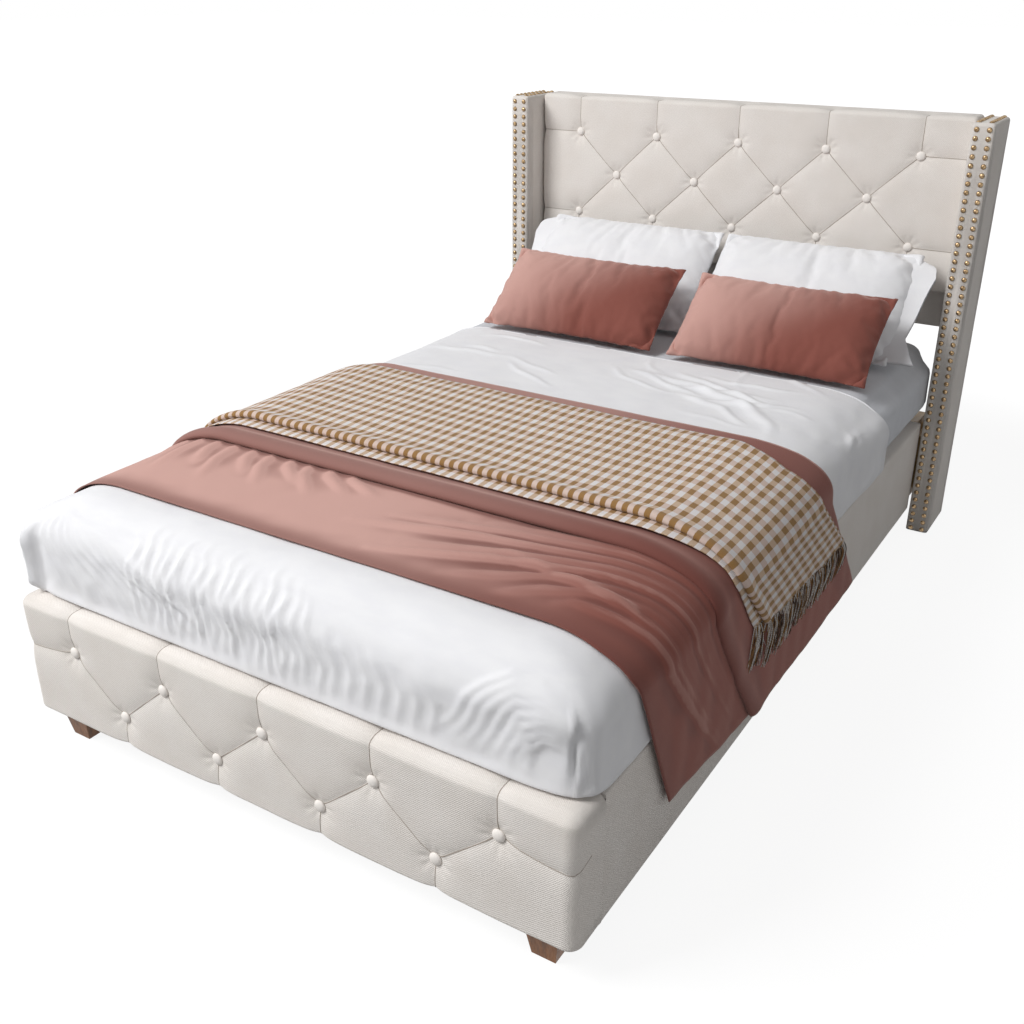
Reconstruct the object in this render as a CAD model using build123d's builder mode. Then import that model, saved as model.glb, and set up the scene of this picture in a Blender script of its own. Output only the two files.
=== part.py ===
from build123d import *
from math import cos, hypot, pi, radians, sin
import os

# Wingback bed with tufted headboard and footboard, made up with its bedding.
# Millimetres. X runs across the bed, Y from the foot to the head, Z up.
# The origin is on the floor, under the middle of the bed.

# Clearances and cutting allowances
soft_clearance = 0.3
cut_overrun = 5.0
bolt_hole_clearance = 0.2

# Mattress
mattress_width = 1200.0
mattress_length = 2000.0
mattress_height = 270.0
mattress_corner_radius = 70.0
mattress_top_radius = 30.0
mattress_bottom_chamfer = 30.0
mattress_side_gap = 4.0
mattress_foot_gap = 5.0

# Heights of the frame
frame_floor_clearance = 64.0
rail_height = 267.0
footboard_height = 272.0
wing_height = 1133.0
panel_rise_over_wings = 4.0
slat_top_height = 262.0
cross_rail_bottom_height = 144.0

# Side rails: a board with padding outside, above and below it
rail_board_thickness = 24.0
rail_padding = 16.0
rail_lip = 10.0
rail_cover_radius = 12.0
rail_end_radius = 10.0
rail_joint_gap = 2.0
rail_cover_length_rear = 888.0
rail_head_gap = 2.0

# Footboard
footboard_side_step = 4.0
footboard_padding = 52.0
footboard_board_thickness = 36.0
footboard_back_thickness = 4.0
footboard_wrap = 14.0
footboard_side_wrap = 16.0
footboard_corner_radius = 28.0
footboard_edge_radius = 17.0

# Headboard panel and wings
headboard_gap = 7.0
panel_padding = 45.0
panel_wrap = 12.0
panel_edge_radius = 22.0
panel_side_gap = 1.0
panel_button_zone_height = 461.0
headboard_board_thickness = 36.0
headboard_board_bottom = 575.0
lower_cloth_thickness = 3.0
back_cloth_thickness = 2.0
wing_side_gap = 4.0
wing_width = 60.0
wing_depth = 190.0
wing_back_step = 18.0
wing_padding = 12.0
wing_edge_radius = 9.0

# Button tufting, the same on both boards
button_radius = 12.5
button_skirt = 3.0
button_crown_radius = 7.0
button_height = 9.0
button_sides = 12
dimple_radius = 34.0
dimple_floor_radius = 13.5
dimple_depth = 14.0
seam_half_width = 26.0
seam_depth = 12.0
headboard_button_spacing = 257.5
headboard_button_drop = 107.0
headboard_row_step = 120.5
footboard_button_spacing = 250.0
footboard_button_drop = 93.0
footboard_row_step = 107.0

# Nailhead trim on the wings
nail_radius = 6.25
nail_height = 3.5
nail_crown_radius = 3.0
nail_pitch = 22.04
nail_first_drop = 16.4
nail_column_spacing = 31.0
nail_count_front = 51
nail_count_top = 8
nail_sides = 6

# Slats, ledges, centre beam and cross rail
slat_count = 14
slat_width = 70.0
slat_thickness = 18.0
slat_end_gap = 2.0
slat_pitch = 143.0
ledge_width = 30.0
ledge_height = 40.0
ledge_foot_gap = 28.0
ledge_joint_gap = 7.0
ledge_head_gap = 12.0
strap_width = 22.0
strap_thickness = 1.0
strap_offset = 300.0
cross_rail_thickness = 24.0
cross_rail_height = 140.0
beam_width = 60.0
beam_height = 50.0
beam_end_gap = 1.0
hanger_thickness = 3.0
hanger_depth = 40.0
leg_width = 40.0
leg_spacing = 500.0
glide_radius = 15.0
glide_height = 6.0
glide_sides = 12

# Feet under the footboard
foot_top_width = 66.0
foot_bottom_width = 46.0
foot_inset = 78.5
foot_setback = 59.0
foot_bolt_reach = 30.0

# Steel fittings
plate_thickness = 3.0
joint_plate_thickness = 4.0
joint_plate_length = 180.0
joint_plate_height = 90.0
joint_plate_drop = 131.0
joint_bolt_shares = (-0.375, -0.125, 0.125, 0.375)
bracket_leg = 60.0
bracket_height = 100.0
bracket_drop = 121.0
bracket_bolt_inset = 22.0
bolt_radius = 4.0
bolt_head_radius = 6.5
bolt_head_height = 5.0
bolt_sides = 8
bolt_head_sides = 6
board_bolt_length = 18.0
wing_bolt_core_reach = 18.0
wing_bolt_board_reach = 50.0
wing_bolt_edge_distance = 40.0
spacer_length = 92.0
spacer_height = 160.0
spacer_drop = 41.0
rail_bolt_low_height = 140.0
rail_bolt_high_height = 185.0

# Duvet
duvet_top = 16.0
duvet_side = 50.0
duvet_front = 66.0
duvet_shoulder_radius = 60.0
duvet_corner_radius = 90.0
duvet_head_distance = 1413.0

# The cloths over the duvet. A slant is a row of (how far down, how far back) in
# shares of the cloth's drop. The cloths slant back on the right, and hang straight
# on the left.
sheet_lift = 0.3
straight_fall_shares = ((1.0, 0.0),)
bedspread_thickness = 8.0
bedspread_fold_thickness = 8.0
bedspread_front = 53.0
bedspread_fold_front = 323.0
bedspread_rear = 973.0
bedspread_left_hem_height = 110.0
bedspread_right_hem_height = 60.0
bedspread_front_slant_shares = ((0.195, 0.115), (0.392, 0.201), (0.861, 0.401))
bedspread_fold_slant_shares = ((0.136, 0.020), (0.289, 0.121), (0.547, 0.319), (0.803, 0.496))
bedspread_rear_slant_shares = ((0.138, 0.051), (0.490, 0.438), (0.797, 0.645), (1.0, 0.743))

throw_thickness = 8.0
throw_fold_thickness = 8.0
throw_front = 377.0
throw_upper_front = 431.0
throw_rear = 908.0
throw_hem_height = 260.0
throw_front_slant_shares = ((0.303, 0.305), (0.625, 0.545), (1.0, 0.857))
throw_upper_slant_shares = ((0.334, 0.291), (0.878, 0.784), (1.0, 0.874))
throw_rear_slant_shares = ((0.126, 0.038), (0.605, 0.642), (1.0, 0.985))
fringe_length = 60.0
fringe_width = 4.0
fringe_pitch = 9.4
fringe_skew = 6.0

# Pillows and cushions, each in its own leaning plane
pillow_width = 568.0
pillow_length = 360.0
pillow_thickness = 128.0
pillow_lean = 42.2
pillow_gap = 5.0
pillow_pair_shift = 12.5
pillow_foot_distance = 1647.0
pillow_hem_width = 64.0
pillow_hem_thickness = 9.0
pillow_draw = 8.0
cushion_width = 543.0
cushion_length = 285.0
cushion_thickness = 116.0
cushion_lean = 39.7
cushion_foot_distance = 1438.0
cushion_spacing = 581.0
cushion_pair_shift = 27.0
cushion_draw = 14.0
outline_divisions = 4
crown_height_shares = (0, 0.42, 0.72, 0.9, 1.0)
crown_outline_shares = (1.0, 0.93, 0.8, 0.6, 0.35)
hem_start_share = 0.46
hem_taper_share = 0.42

# Places across the bed, from its middle
rail_inner_x = mattress_width / 2 + mattress_side_gap
rail_board_outer_x = rail_inner_x + rail_board_thickness
rail_outer_x = rail_board_outer_x + rail_padding
footboard_half_width = rail_outer_x + footboard_side_step
wing_inner_x = rail_outer_x + wing_side_gap
wing_outer_x = wing_inner_x + wing_width
wing_middle_x = (wing_inner_x + wing_outer_x) / 2
panel_half_width = wing_inner_x - panel_side_gap

# Places along the bed, from the foot end to the head end
footboard_thickness = footboard_padding + footboard_board_thickness + footboard_back_thickness
bed_length = (footboard_thickness + mattress_foot_gap + mattress_length + headboard_gap
              + headboard_board_thickness + back_cloth_thickness + wing_back_step)
foot_y = -bed_length / 2
footboard_back_y = foot_y + footboard_thickness
footboard_board_y = foot_y + footboard_padding
mattress_foot_y = footboard_back_y + mattress_foot_gap
mattress_head_y = mattress_foot_y + mattress_length
board_front_y = mattress_head_y + headboard_gap
board_back_y = board_front_y + headboard_board_thickness
head_y = bed_length / 2
wing_front_y = head_y - wing_depth
panel_front_y = board_front_y - panel_padding
cross_rail_front_y = board_front_y
rail_head_y = cross_rail_front_y - rail_head_gap
rail_joint_y = (mattress_foot_y + mattress_head_y) / 2
duvet_foot_y = mattress_foot_y - duvet_front
duvet_head_y = mattress_foot_y + duvet_head_distance

# Heights above the floor
rail_bottom_z = frame_floor_clearance
rail_top_z = rail_bottom_z + rail_height
rail_board_bottom_z = rail_bottom_z + rail_lip
rail_board_top_z = rail_top_z - rail_lip
footboard_top_z = frame_floor_clearance + footboard_height
footboard_board_bottom_z = frame_floor_clearance + footboard_wrap
footboard_board_top_z = footboard_top_z - footboard_wrap
slat_top_z = slat_top_height
slat_bottom_z = slat_top_z - slat_thickness
beam_bottom_z = slat_bottom_z - beam_height
mattress_bottom_z = slat_top_z + soft_clearance
mattress_top_z = mattress_bottom_z + mattress_height
panel_top_z = wing_height + panel_rise_over_wings
panel_bottom_z = panel_top_z - panel_button_zone_height
board_top_z = panel_top_z - panel_wrap
cross_rail_bottom_z = cross_rail_bottom_height
cross_rail_top_z = cross_rail_bottom_z + cross_rail_height

# Outline of the duvet, which the cloths above it follow
duvet_half_width = mattress_width / 2 + duvet_side
duvet_top_z = mattress_top_z + duvet_top
duvet_bottom_z = rail_top_z + soft_clearance


def save(piece, name):
    """Label a finished piece and write it to its own file."""
    piece.part.label = name
    export_step(piece.part, "parts/" + name + ".step")


def slab(x_limits, y_limits, z_limits, mode=Mode.ADD):
    """A box between three pairs of limits, in the part that is being built."""
    limits = (x_limits, y_limits, z_limits)
    middle = tuple((low + high) / 2 for low, high in limits)
    sizes = [high - low for low, high in limits]
    with Locations(middle):
        Box(*sizes, mode=mode)


def mirrored_limits(side, inner, outer):
    """X limits on the left (-1) or right (+1) of the bed."""
    return (inner, outer) if side > 0 else (-outer, -inner)


def box_piece(name, x_limits, y_limits, z_limits, holes=()):
    """A plain rectangular piece, with the bolt holes that pass through it."""
    with BuildPart() as piece:
        slab(x_limits, y_limits, z_limits)
        for hole in holes:
            drill(hole)
    save(piece, name)


def drill(hole):
    """Cut a clearance hole for a bolt given as (start, direction, length)."""
    start, direction, length = hole
    with BuildSketch(Plane(origin=start, z_dir=direction)) as section:
        RegularPolygon(bolt_radius + bolt_hole_clearance, bolt_sides)
    extrude(section.sketch, amount=length + bolt_hole_clearance, mode=Mode.SUBTRACT)


def bolts(name, placed, headed=True):
    """A group of bolts, each given as (start, direction, length)."""
    with BuildPart() as piece:
        for start, direction, length in placed:
            seat = Plane(origin=start, z_dir=direction)
            with BuildSketch(seat) as shank:
                RegularPolygon(bolt_radius, bolt_sides)
            extrude(shank.sketch, amount=length)
            if headed:
                with BuildSketch(seat) as head:
                    RegularPolygon(bolt_head_radius, bolt_head_sides)
                extrude(head.sketch, amount=-bolt_head_height)
    save(piece, name)


def glides(name, places):
    """Round glides that stand on the floor at the given places (x, y)."""
    with BuildPart() as piece:
        with BuildSketch() as pads:
            with Locations(*places):
                RegularPolygon(glide_radius, glide_sides)
        extrude(pads.sketch, amount=glide_height)
    save(piece, name)


def front_plane(y):
    """A sketch plane facing the foot of the bed, with sketch Y along Z."""
    return Plane(origin=(0, y, 0), x_dir=(1, 0, 0), z_dir=(0, -1, 0))


def tuft_points(rows, spacing, top_z, row_step):
    """Button places (x, z), row by row, with the given number in each row."""
    points = []
    for row, count in enumerate(rows):
        z = top_z - row * row_step
        points.append([((i - (count - 1) / 2) * spacing, z) for i in range(count)])
    return points


def tuft_seams(points, spacing, side_x, top_z, bottom_z):
    """Sewn seams between the buttons, and from the outer ones to the panel's edges."""
    seams = []
    for upper, lower in zip(points, points[1:]):
        for x_low, z_low in lower:
            near = [p for p in upper if abs(p[0] - x_low) < spacing]
            seams += [(p, (x_low, z_low)) for p in near]
    seams += [((x, z), (x, top_z + cut_overrun)) for x, z in points[0]]
    seams += [((x, z), (x, bottom_z - cut_overrun)) for x, z in points[-1]]
    widest = max(len(row) for row in points)
    for row in points:
        if len(row) == widest:
            for x, z in (row[0], row[-1]):
                seams.append(((x, z), (side_x + cut_overrun if x > 0 else -side_x - cut_overrun, z)))
    return seams


def cut_tufts(front_y, points, seams):
    """Press the seams and button dimples into the pad that is being built."""
    seam_slope = seam_half_width / seam_depth
    for (x1, z1), (x2, z2) in seams:
        length = hypot(x2 - x1, z2 - z1)
        run = Plane(origin=(x1, front_y, z1), x_dir=(0, -1, 0), z_dir=(x2 - x1, 0, z2 - z1))
        with BuildSketch(run) as groove:
            with BuildLine():
                Polyline((-seam_depth, 0), (cut_overrun, (seam_depth + cut_overrun) * seam_slope),
                         (cut_overrun, -(seam_depth + cut_overrun) * seam_slope), close=True)
            make_face()
        extrude(groove.sketch, amount=length, mode=Mode.SUBTRACT)
    dimple_slope = (dimple_radius - dimple_floor_radius) / dimple_depth
    mouth_radius = dimple_radius + cut_overrun * dimple_slope
    dimple = tapered(button_sides, [(-cut_overrun, mouth_radius), (dimple_depth, dimple_floor_radius)])
    with Locations(*[(x, front_y, z) for row in points for x, z in row]):
        add(dimple, mode=Mode.SUBTRACT)


def stacked(outlines):
    """A flat-sided solid through a row of outlines with as many points each."""
    faces = [Face(Wire.make_polygon(outline)) for outline in (outlines[0], outlines[-1])]
    for lower, upper in zip(outlines, outlines[1:]):
        for i in range(len(lower)):
            j = (i + 1) % len(lower)
            faces.append(Face(Wire.make_polygon([lower[i], lower[j], upper[j], upper[i]])))
    return Solid(Shell(faces))


def tapered(sides, steps):
    """A many-sided solid along Y, through the given steps of (place, radius)."""
    angles = [2 * pi * i / sides for i in range(sides)]
    return stacked([[(radius * cos(angle), place, radius * sin(angle)) for angle in angles]
                    for place, radius in steps])


def covered_buttons(name, front_y, points):
    """Cloth-covered buttons seated on the floors of their dimples."""
    button = tapered(button_sides, [(0, button_radius), (-button_skirt, button_radius),
                                    (-button_height, button_crown_radius)])
    with BuildPart() as piece:
        with Locations(*[(x, front_y + dimple_depth, z) for row in points for x, z in row]):
            add(button)
    save(piece, name)


# Headboard


def headboard_tufts():
    return tuft_points((5, 4, 5), headboard_button_spacing, panel_top_z - headboard_button_drop,
                       headboard_row_step)


def headboard_pad():
    points = headboard_tufts()
    seams = tuft_seams(points, headboard_button_spacing, panel_half_width, panel_top_z, panel_bottom_z)
    with BuildPart() as pad:
        slab((-panel_half_width, panel_half_width), (panel_front_y, board_back_y),
             (panel_bottom_z, panel_top_z))
        front = pad.faces().sort_by(Axis.Y)[0]
        fillet(front.edges().sort_by(Axis.Z)[-1], panel_edge_radius)
        slab((-wing_inner_x, wing_inner_x), (board_front_y, board_back_y + cut_overrun),
             (panel_bottom_z - cut_overrun, board_top_z), mode=Mode.SUBTRACT)
        cut_tufts(panel_front_y, points, seams)
    save(pad, "headboard_pad")


def wing_bolt_places(side):
    """Bolts from the wing's core into the edge of the headboard board and of the cross rail."""
    start_x = side * (wing_inner_x + wing_padding + wing_bolt_core_reach)
    direction = (-side, 0, 0)
    length = wing_bolt_core_reach + wing_padding + wing_bolt_board_reach
    board_middle_y = (board_front_y + board_back_y) / 2
    cross_middle_y = cross_rail_front_y + cross_rail_thickness / 2
    heights = (headboard_board_bottom + wing_bolt_edge_distance,
               (headboard_board_bottom + board_top_z) / 2,
               board_top_z - wing_bolt_edge_distance)
    in_board = [((start_x, board_middle_y, z), direction, length) for z in heights]
    low_heights = (cross_rail_bottom_z + wing_bolt_edge_distance,
                   cross_rail_top_z - wing_bolt_edge_distance)
    in_cross = [((start_x, cross_middle_y, z), direction, length) for z in low_heights]
    return in_board + in_cross


def rail_bolt_places(side):
    """Bolts from inside the rail, through its spacer, into the wing's core."""
    start_x = side * rail_inner_x
    y = sum(spacer_limits()[1]) / 2
    length = wing_inner_x + wing_padding + wing_bolt_core_reach - rail_inner_x
    return [((start_x, y, z), (side, 0, 0), length) for z in (rail_bolt_low_height, rail_bolt_high_height)]


def spacer_limits():
    """Block between the rail's board and the wing, as three pairs of limits."""
    rear = rail_head_y
    top = rail_board_top_z - spacer_drop
    return (rail_board_outer_x, wing_inner_x), (rear - spacer_length, rear), (top - spacer_height, top)


def headboard():
    wing_holes = wing_bolt_places(-1) + wing_bolt_places(1)
    box_piece("headboard_board", (-wing_inner_x, wing_inner_x), (board_front_y, board_back_y),
              (headboard_board_bottom, board_top_z), wing_holes)
    box_piece("headboard_lower_cloth", (-panel_half_width, panel_half_width),
              (board_front_y - lower_cloth_thickness, board_front_y),
              (headboard_board_bottom, panel_bottom_z))
    box_piece("headboard_back_cloth", (-panel_half_width, panel_half_width),
              (board_back_y, board_back_y + back_cloth_thickness),
              (headboard_board_bottom, board_top_z))
    box_piece("head_cross_rail", (-wing_inner_x, wing_inner_x),
              (cross_rail_front_y, cross_rail_front_y + cross_rail_thickness),
              (cross_rail_bottom_z, cross_rail_top_z), wing_holes)
    headboard_pad()
    covered_buttons("headboard_buttons", panel_front_y, headboard_tufts())
    bolts("wing_bolts", wing_holes, headed=False)


def wing(side, side_name):
    """One wing: a timber core, its padded cover and its two columns of nailheads."""
    holes = wing_bolt_places(side) + rail_bolt_places(side)
    core_x = mirrored_limits(side, wing_inner_x + wing_padding, wing_outer_x - wing_padding)
    core_y = (wing_front_y + wing_padding, head_y - wing_padding)
    box_piece("wing_" + side_name + "_core", core_x, core_y,
              (glide_height, wing_height - wing_padding), holes)
    with BuildPart() as cover:
        slab(mirrored_limits(side, wing_inner_x, wing_outer_x), (wing_front_y, head_y),
             (glide_height, wing_height))
        upright = cover.edges().filter_by(Axis.Z)
        top = cover.faces().sort_by(Axis.Z)[-1].edges()
        fillet(upright + top, wing_edge_radius)
        slab(core_x, core_y, (glide_height - cut_overrun, wing_height - wing_padding),
             mode=Mode.SUBTRACT)
        for hole in holes:
            drill(hole)
    save(cover, "wing_" + side_name + "_cover")
    wing_nails(side, side_name)


def wing_nails(side, side_name):
    """Nailheads down the wing's front edge and back along its top."""
    columns = [side * wing_middle_x + offset * nail_column_spacing / 2 for offset in (-1, 1)]
    first_z = wing_height - nail_first_drop
    front = [(x, wing_front_y, first_z - i * nail_pitch)
             for x in columns for i in range(nail_count_front)]
    top = [(x, wing_front_y + nail_first_drop + i * nail_pitch, wing_height)
           for x in columns for i in range(nail_count_top)]
    head = tapered(nail_sides, [(0, nail_radius), (-nail_height, nail_crown_radius)])
    with BuildPart() as nails:
        with Locations(*front):
            add(head)
        with Locations(*top):
            add(head.rotate(Axis.X, -90))
    save(nails, "wing_" + side_name + "_nails")


def wing_glides():
    """Plastic glides that the wings stand on."""
    inset = wing_padding + glide_radius
    ys = (wing_front_y + inset, head_y - inset)
    glides("wing_glides", [(side * wing_middle_x, y) for side in (-1, 1) for y in ys])


# Side rails


def rail_sections():
    """The Y limits of each rail section's board and of its padded cover."""
    half_gap = rail_joint_gap / 2
    front = (footboard_back_y, rail_joint_y - half_gap)
    rear_board = (rail_joint_y + half_gap, rail_head_y)
    rear_cover = (rear_board[0], rear_board[0] + rail_cover_length_rear)
    return {"front": (front, front), "rear": (rear_board, rear_cover)}


def joint_bolt_places(side):
    """Bolts through the plate that joins two rail sections, two in each."""
    z = rail_board_top_z - joint_plate_drop - joint_plate_height / 2
    start_x = side * (rail_inner_x - joint_plate_thickness)
    offsets = [share * joint_plate_length for share in joint_bolt_shares]
    length = joint_plate_thickness + board_bolt_length
    return [((start_x, rail_joint_y + offset, z), (side, 0, 0), length) for offset in offsets]


def bracket_heights():
    """Bottom, top and bolt heights of the brackets at the footboard."""
    top = rail_board_top_z - bracket_drop
    bottom = top - bracket_height
    return bottom, top, (bottom + bracket_bolt_inset, top - bracket_bolt_inset)


def bracket_bolt_places(side):
    """Bolts through one corner bracket: into the rail's board and into the footboard."""
    bolt_heights = bracket_heights()[2]
    leg_middle = bracket_leg / 2 + plate_thickness / 2
    rail_start_x = side * (rail_inner_x - plate_thickness)
    in_rail = [((rail_start_x, footboard_back_y + leg_middle, z), (side, 0, 0),
                plate_thickness + board_bolt_length) for z in bolt_heights]
    board_start_y = footboard_back_y + plate_thickness
    in_board = [((side * (rail_inner_x - leg_middle), board_start_y, z), (0, -1, 0),
                 plate_thickness + footboard_back_thickness + board_bolt_length)
                for z in bolt_heights]
    return in_rail, in_board


def rails(side, side_name):
    joint_holes = joint_bolt_places(side)
    bracket_holes = bracket_bolt_places(side)[0]
    for section, (board_y, cover_y) in rail_sections().items():
        name = "rail_" + side_name + "_" + section
        own_holes = [h for h in joint_holes if board_y[0] < h[0][1] < board_y[1]]
        own_holes += bracket_holes if section == "front" else rail_bolt_places(side)
        box_piece(name + "_board", mirrored_limits(side, rail_inner_x, rail_board_outer_x), board_y,
                  (rail_board_bottom_z, rail_board_top_z), own_holes)
        with BuildPart() as cover:
            slab(mirrored_limits(side, rail_inner_x, rail_outer_x), cover_y,
                 (rail_bottom_z, rail_top_z))
            outer = cover.faces().sort_by(Axis.X)[-1 if side > 0 else 0]
            fillet(outer.edges().filter_by(Axis.Y), rail_cover_radius)
            if section == "rear":
                rear_end = cover.faces().sort_by(Axis.Y)[-1]
                fillet(rear_end.edges().filter_by(Axis.X), rail_end_radius)
            slab(mirrored_limits(side, rail_inner_x - cut_overrun, rail_board_outer_x),
                 (cover_y[0] - cut_overrun, cover_y[1] + cut_overrun),
                 (rail_board_bottom_z, rail_board_top_z), mode=Mode.SUBTRACT)
        save(cover, name + "_cover")
        ledge_y = (board_y[0] + ledge_foot_gap, board_y[1] - ledge_joint_gap)
        if section == "rear":
            ledge_y = (board_y[0] + ledge_joint_gap, board_y[1] - ledge_head_gap)
        box_piece("ledge_" + side_name + "_" + section,
                  mirrored_limits(side, rail_inner_x - ledge_width, rail_inner_x), ledge_y,
                  (slat_bottom_z - ledge_height, slat_bottom_z))


def spacer_on(side):
    """The spacer's limits on one side of the bed."""
    x_limits, y_limits, z_limits = spacer_limits()
    return mirrored_limits(side, *x_limits), y_limits, z_limits


def rail_fittings():
    """Spacers, joint plates, corner brackets and all their bolts."""
    sides = (-1, 1)
    with BuildPart() as spacers:
        for side in sides:
            slab(*spacer_on(side))
        for side in sides:
            for hole in rail_bolt_places(side):
                drill(hole)
    save(spacers, "wing_spacers")
    bolts("rail_wing_bolts", [b for side in sides for b in rail_bolt_places(side)])
    plate_z = (rail_board_top_z - joint_plate_drop - joint_plate_height,
               rail_board_top_z - joint_plate_drop)
    plate_y = (rail_joint_y - joint_plate_length / 2, rail_joint_y + joint_plate_length / 2)
    with BuildPart() as plates:
        for side in sides:
            slab(mirrored_limits(side, rail_inner_x - joint_plate_thickness, rail_inner_x),
                 plate_y, plate_z)
        for side in sides:
            for hole in joint_bolt_places(side):
                drill(hole)
    save(plates, "rail_joint_plates")
    bolts("rail_joint_bolts", [b for side in sides for b in joint_bolt_places(side)])
    bottom, top, _ = bracket_heights()
    placed = []
    with BuildPart() as brackets:
        for side in sides:
            slab(mirrored_limits(side, rail_inner_x - plate_thickness, rail_inner_x),
                 (footboard_back_y, footboard_back_y + bracket_leg), (bottom, top))
            slab(mirrored_limits(side, rail_inner_x - bracket_leg, rail_inner_x),
                 (footboard_back_y, footboard_back_y + plate_thickness), (bottom, top))
        for side in sides:
            in_rail, in_board = bracket_bolt_places(side)
            placed += in_rail + in_board
        for hole in placed:
            drill(hole)
    save(brackets, "footboard_brackets")
    bolts("footboard_bracket_bolts", placed)


# Footboard and feet


def foot_bolt_places():
    """Bolts that hold the feet: up through the padding into the board."""
    start_z = frame_floor_clearance - foot_bolt_reach
    length = foot_bolt_reach + footboard_wrap + foot_bolt_reach
    return [((side * (footboard_half_width - foot_inset), foot_y + foot_setback, start_z), (0, 0, 1), length)
            for side in (-1, 1)]


def footboard():
    points = tuft_points((5, 4), footboard_button_spacing, footboard_top_z - footboard_button_drop,
                         footboard_row_step)
    seams = tuft_seams(points, footboard_button_spacing, footboard_half_width, footboard_top_z,
                       frame_floor_clearance)
    bracket_holes = [h for side in (-1, 1) for h in bracket_bolt_places(side)[1]]
    board_half = footboard_half_width - footboard_side_wrap
    board_back_face_y = footboard_board_y + footboard_board_thickness
    box_piece("footboard_board", (-board_half, board_half), (footboard_board_y, board_back_face_y),
              (footboard_board_bottom_z, footboard_board_top_z), bracket_holes + foot_bolt_places())
    with BuildPart() as pad:
        slab((-footboard_half_width, footboard_half_width), (foot_y, board_back_face_y),
             (frame_floor_clearance, footboard_top_z))
        front = pad.faces().sort_by(Axis.Y)[0]
        fillet(front.edges().filter_by(Axis.Z), footboard_corner_radius)
        front = pad.faces().sort_by(Axis.Y)[0]
        fillet(front.edges().filter_by(Axis.X), footboard_edge_radius)
        slab((-board_half, board_half), (footboard_board_y, board_back_face_y + cut_overrun),
             (footboard_board_bottom_z, footboard_board_top_z), mode=Mode.SUBTRACT)
        cut_tufts(foot_y, points, seams)
        for hole in foot_bolt_places():
            drill(hole)
    save(pad, "footboard_pad")
    covered_buttons("footboard_buttons", foot_y, points)
    inner_half = footboard_half_width - rail_cover_radius
    box_piece("footboard_back_cloth", (-inner_half, inner_half),
              (board_back_face_y, footboard_back_y),
              (frame_floor_clearance + rail_cover_radius, footboard_top_z - rail_cover_radius),
              bracket_holes)


def foot(side, side_name):
    """A tapered block foot."""
    (x, y, _), _, _ = foot_bolt_places()[0 if side < 0 else 1]
    outlines = []
    for height, width in ((0, foot_bottom_width), (frame_floor_clearance, foot_top_width)):
        half = width / 2
        corners = [(-half, -half), (half, -half), (half, half), (-half, half)]
        outlines.append([(x + across, y + along, height) for across, along in corners])
    with BuildPart() as block:
        add(stacked(outlines))
        for hole in foot_bolt_places():
            drill(hole)
    save(block, "foot_" + side_name)


# Slatted base


def slatted_base():
    first_y = rail_joint_y - slat_pitch * (slat_count - 1) / 2
    last_y = rail_joint_y + slat_pitch * (slat_count - 1) / 2
    slat_half = rail_inner_x - slat_end_gap
    with BuildPart() as slats:
        for i in range(slat_count):
            y = first_y + i * slat_pitch
            slab((-slat_half, slat_half), (y - slat_width / 2, y + slat_width / 2),
                 (slat_bottom_z, slat_top_z))
    save(slats, "slats")
    with BuildPart() as straps:
        for side in (-1, 1):
            middle = side * strap_offset
            slab((middle - strap_width / 2, middle + strap_width / 2),
                 (first_y - slat_width / 2, last_y + slat_width / 2),
                 (slat_bottom_z - strap_thickness, slat_bottom_z))
    save(straps, "slat_straps")


def centre_beam():
    """The beam under the slats in two lengths, its hangers, legs and glides."""
    half_gap = rail_joint_gap / 2
    ends = (footboard_back_y + beam_end_gap, cross_rail_front_y - beam_end_gap)
    beam_x = (-beam_width / 2, beam_width / 2)
    beam_z = (beam_bottom_z, slat_bottom_z)
    box_piece("centre_beam_front", beam_x, (ends[0], rail_joint_y - half_gap), beam_z)
    box_piece("centre_beam_rear", beam_x, (rail_joint_y + half_gap, ends[1]), beam_z)
    outer = beam_width / 2 + hanger_thickness
    with BuildPart() as hangers:
        for y_limits in ((footboard_back_y, footboard_back_y + hanger_depth),
                         (cross_rail_front_y - hanger_depth, cross_rail_front_y)):
            slab((-outer, outer), y_limits, (beam_bottom_z - hanger_thickness, slat_bottom_z))
            slab(beam_x, (y_limits[0] - cut_overrun, y_limits[1] + cut_overrun),
                 (beam_bottom_z, slat_bottom_z + cut_overrun), mode=Mode.SUBTRACT)
    save(hangers, "beam_hangers")
    places = [rail_joint_y + i * leg_spacing for i in (-1, 0, 1)]
    for number, y in enumerate(places, start=1):
        box_piece("centre_leg_" + str(number), (-leg_width / 2, leg_width / 2),
                  (y - leg_width / 2, y + leg_width / 2), (glide_height, beam_bottom_z))
    glides("centre_leg_glides", [(0, y) for y in places])


# Mattress and bedding


def mattress():
    with BuildPart() as pad:
        slab((-mattress_width / 2, mattress_width / 2), (mattress_foot_y, mattress_head_y),
             (mattress_bottom_z, mattress_top_z))
        fillet(pad.edges().filter_by(Axis.Z), mattress_corner_radius)
        fillet(pad.faces().sort_by(Axis.Z)[-1].edges(), mattress_top_radius)
        chamfer(pad.faces().sort_by(Axis.Z)[0].edges(), mattress_bottom_chamfer)
    save(pad, "mattress")


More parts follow.
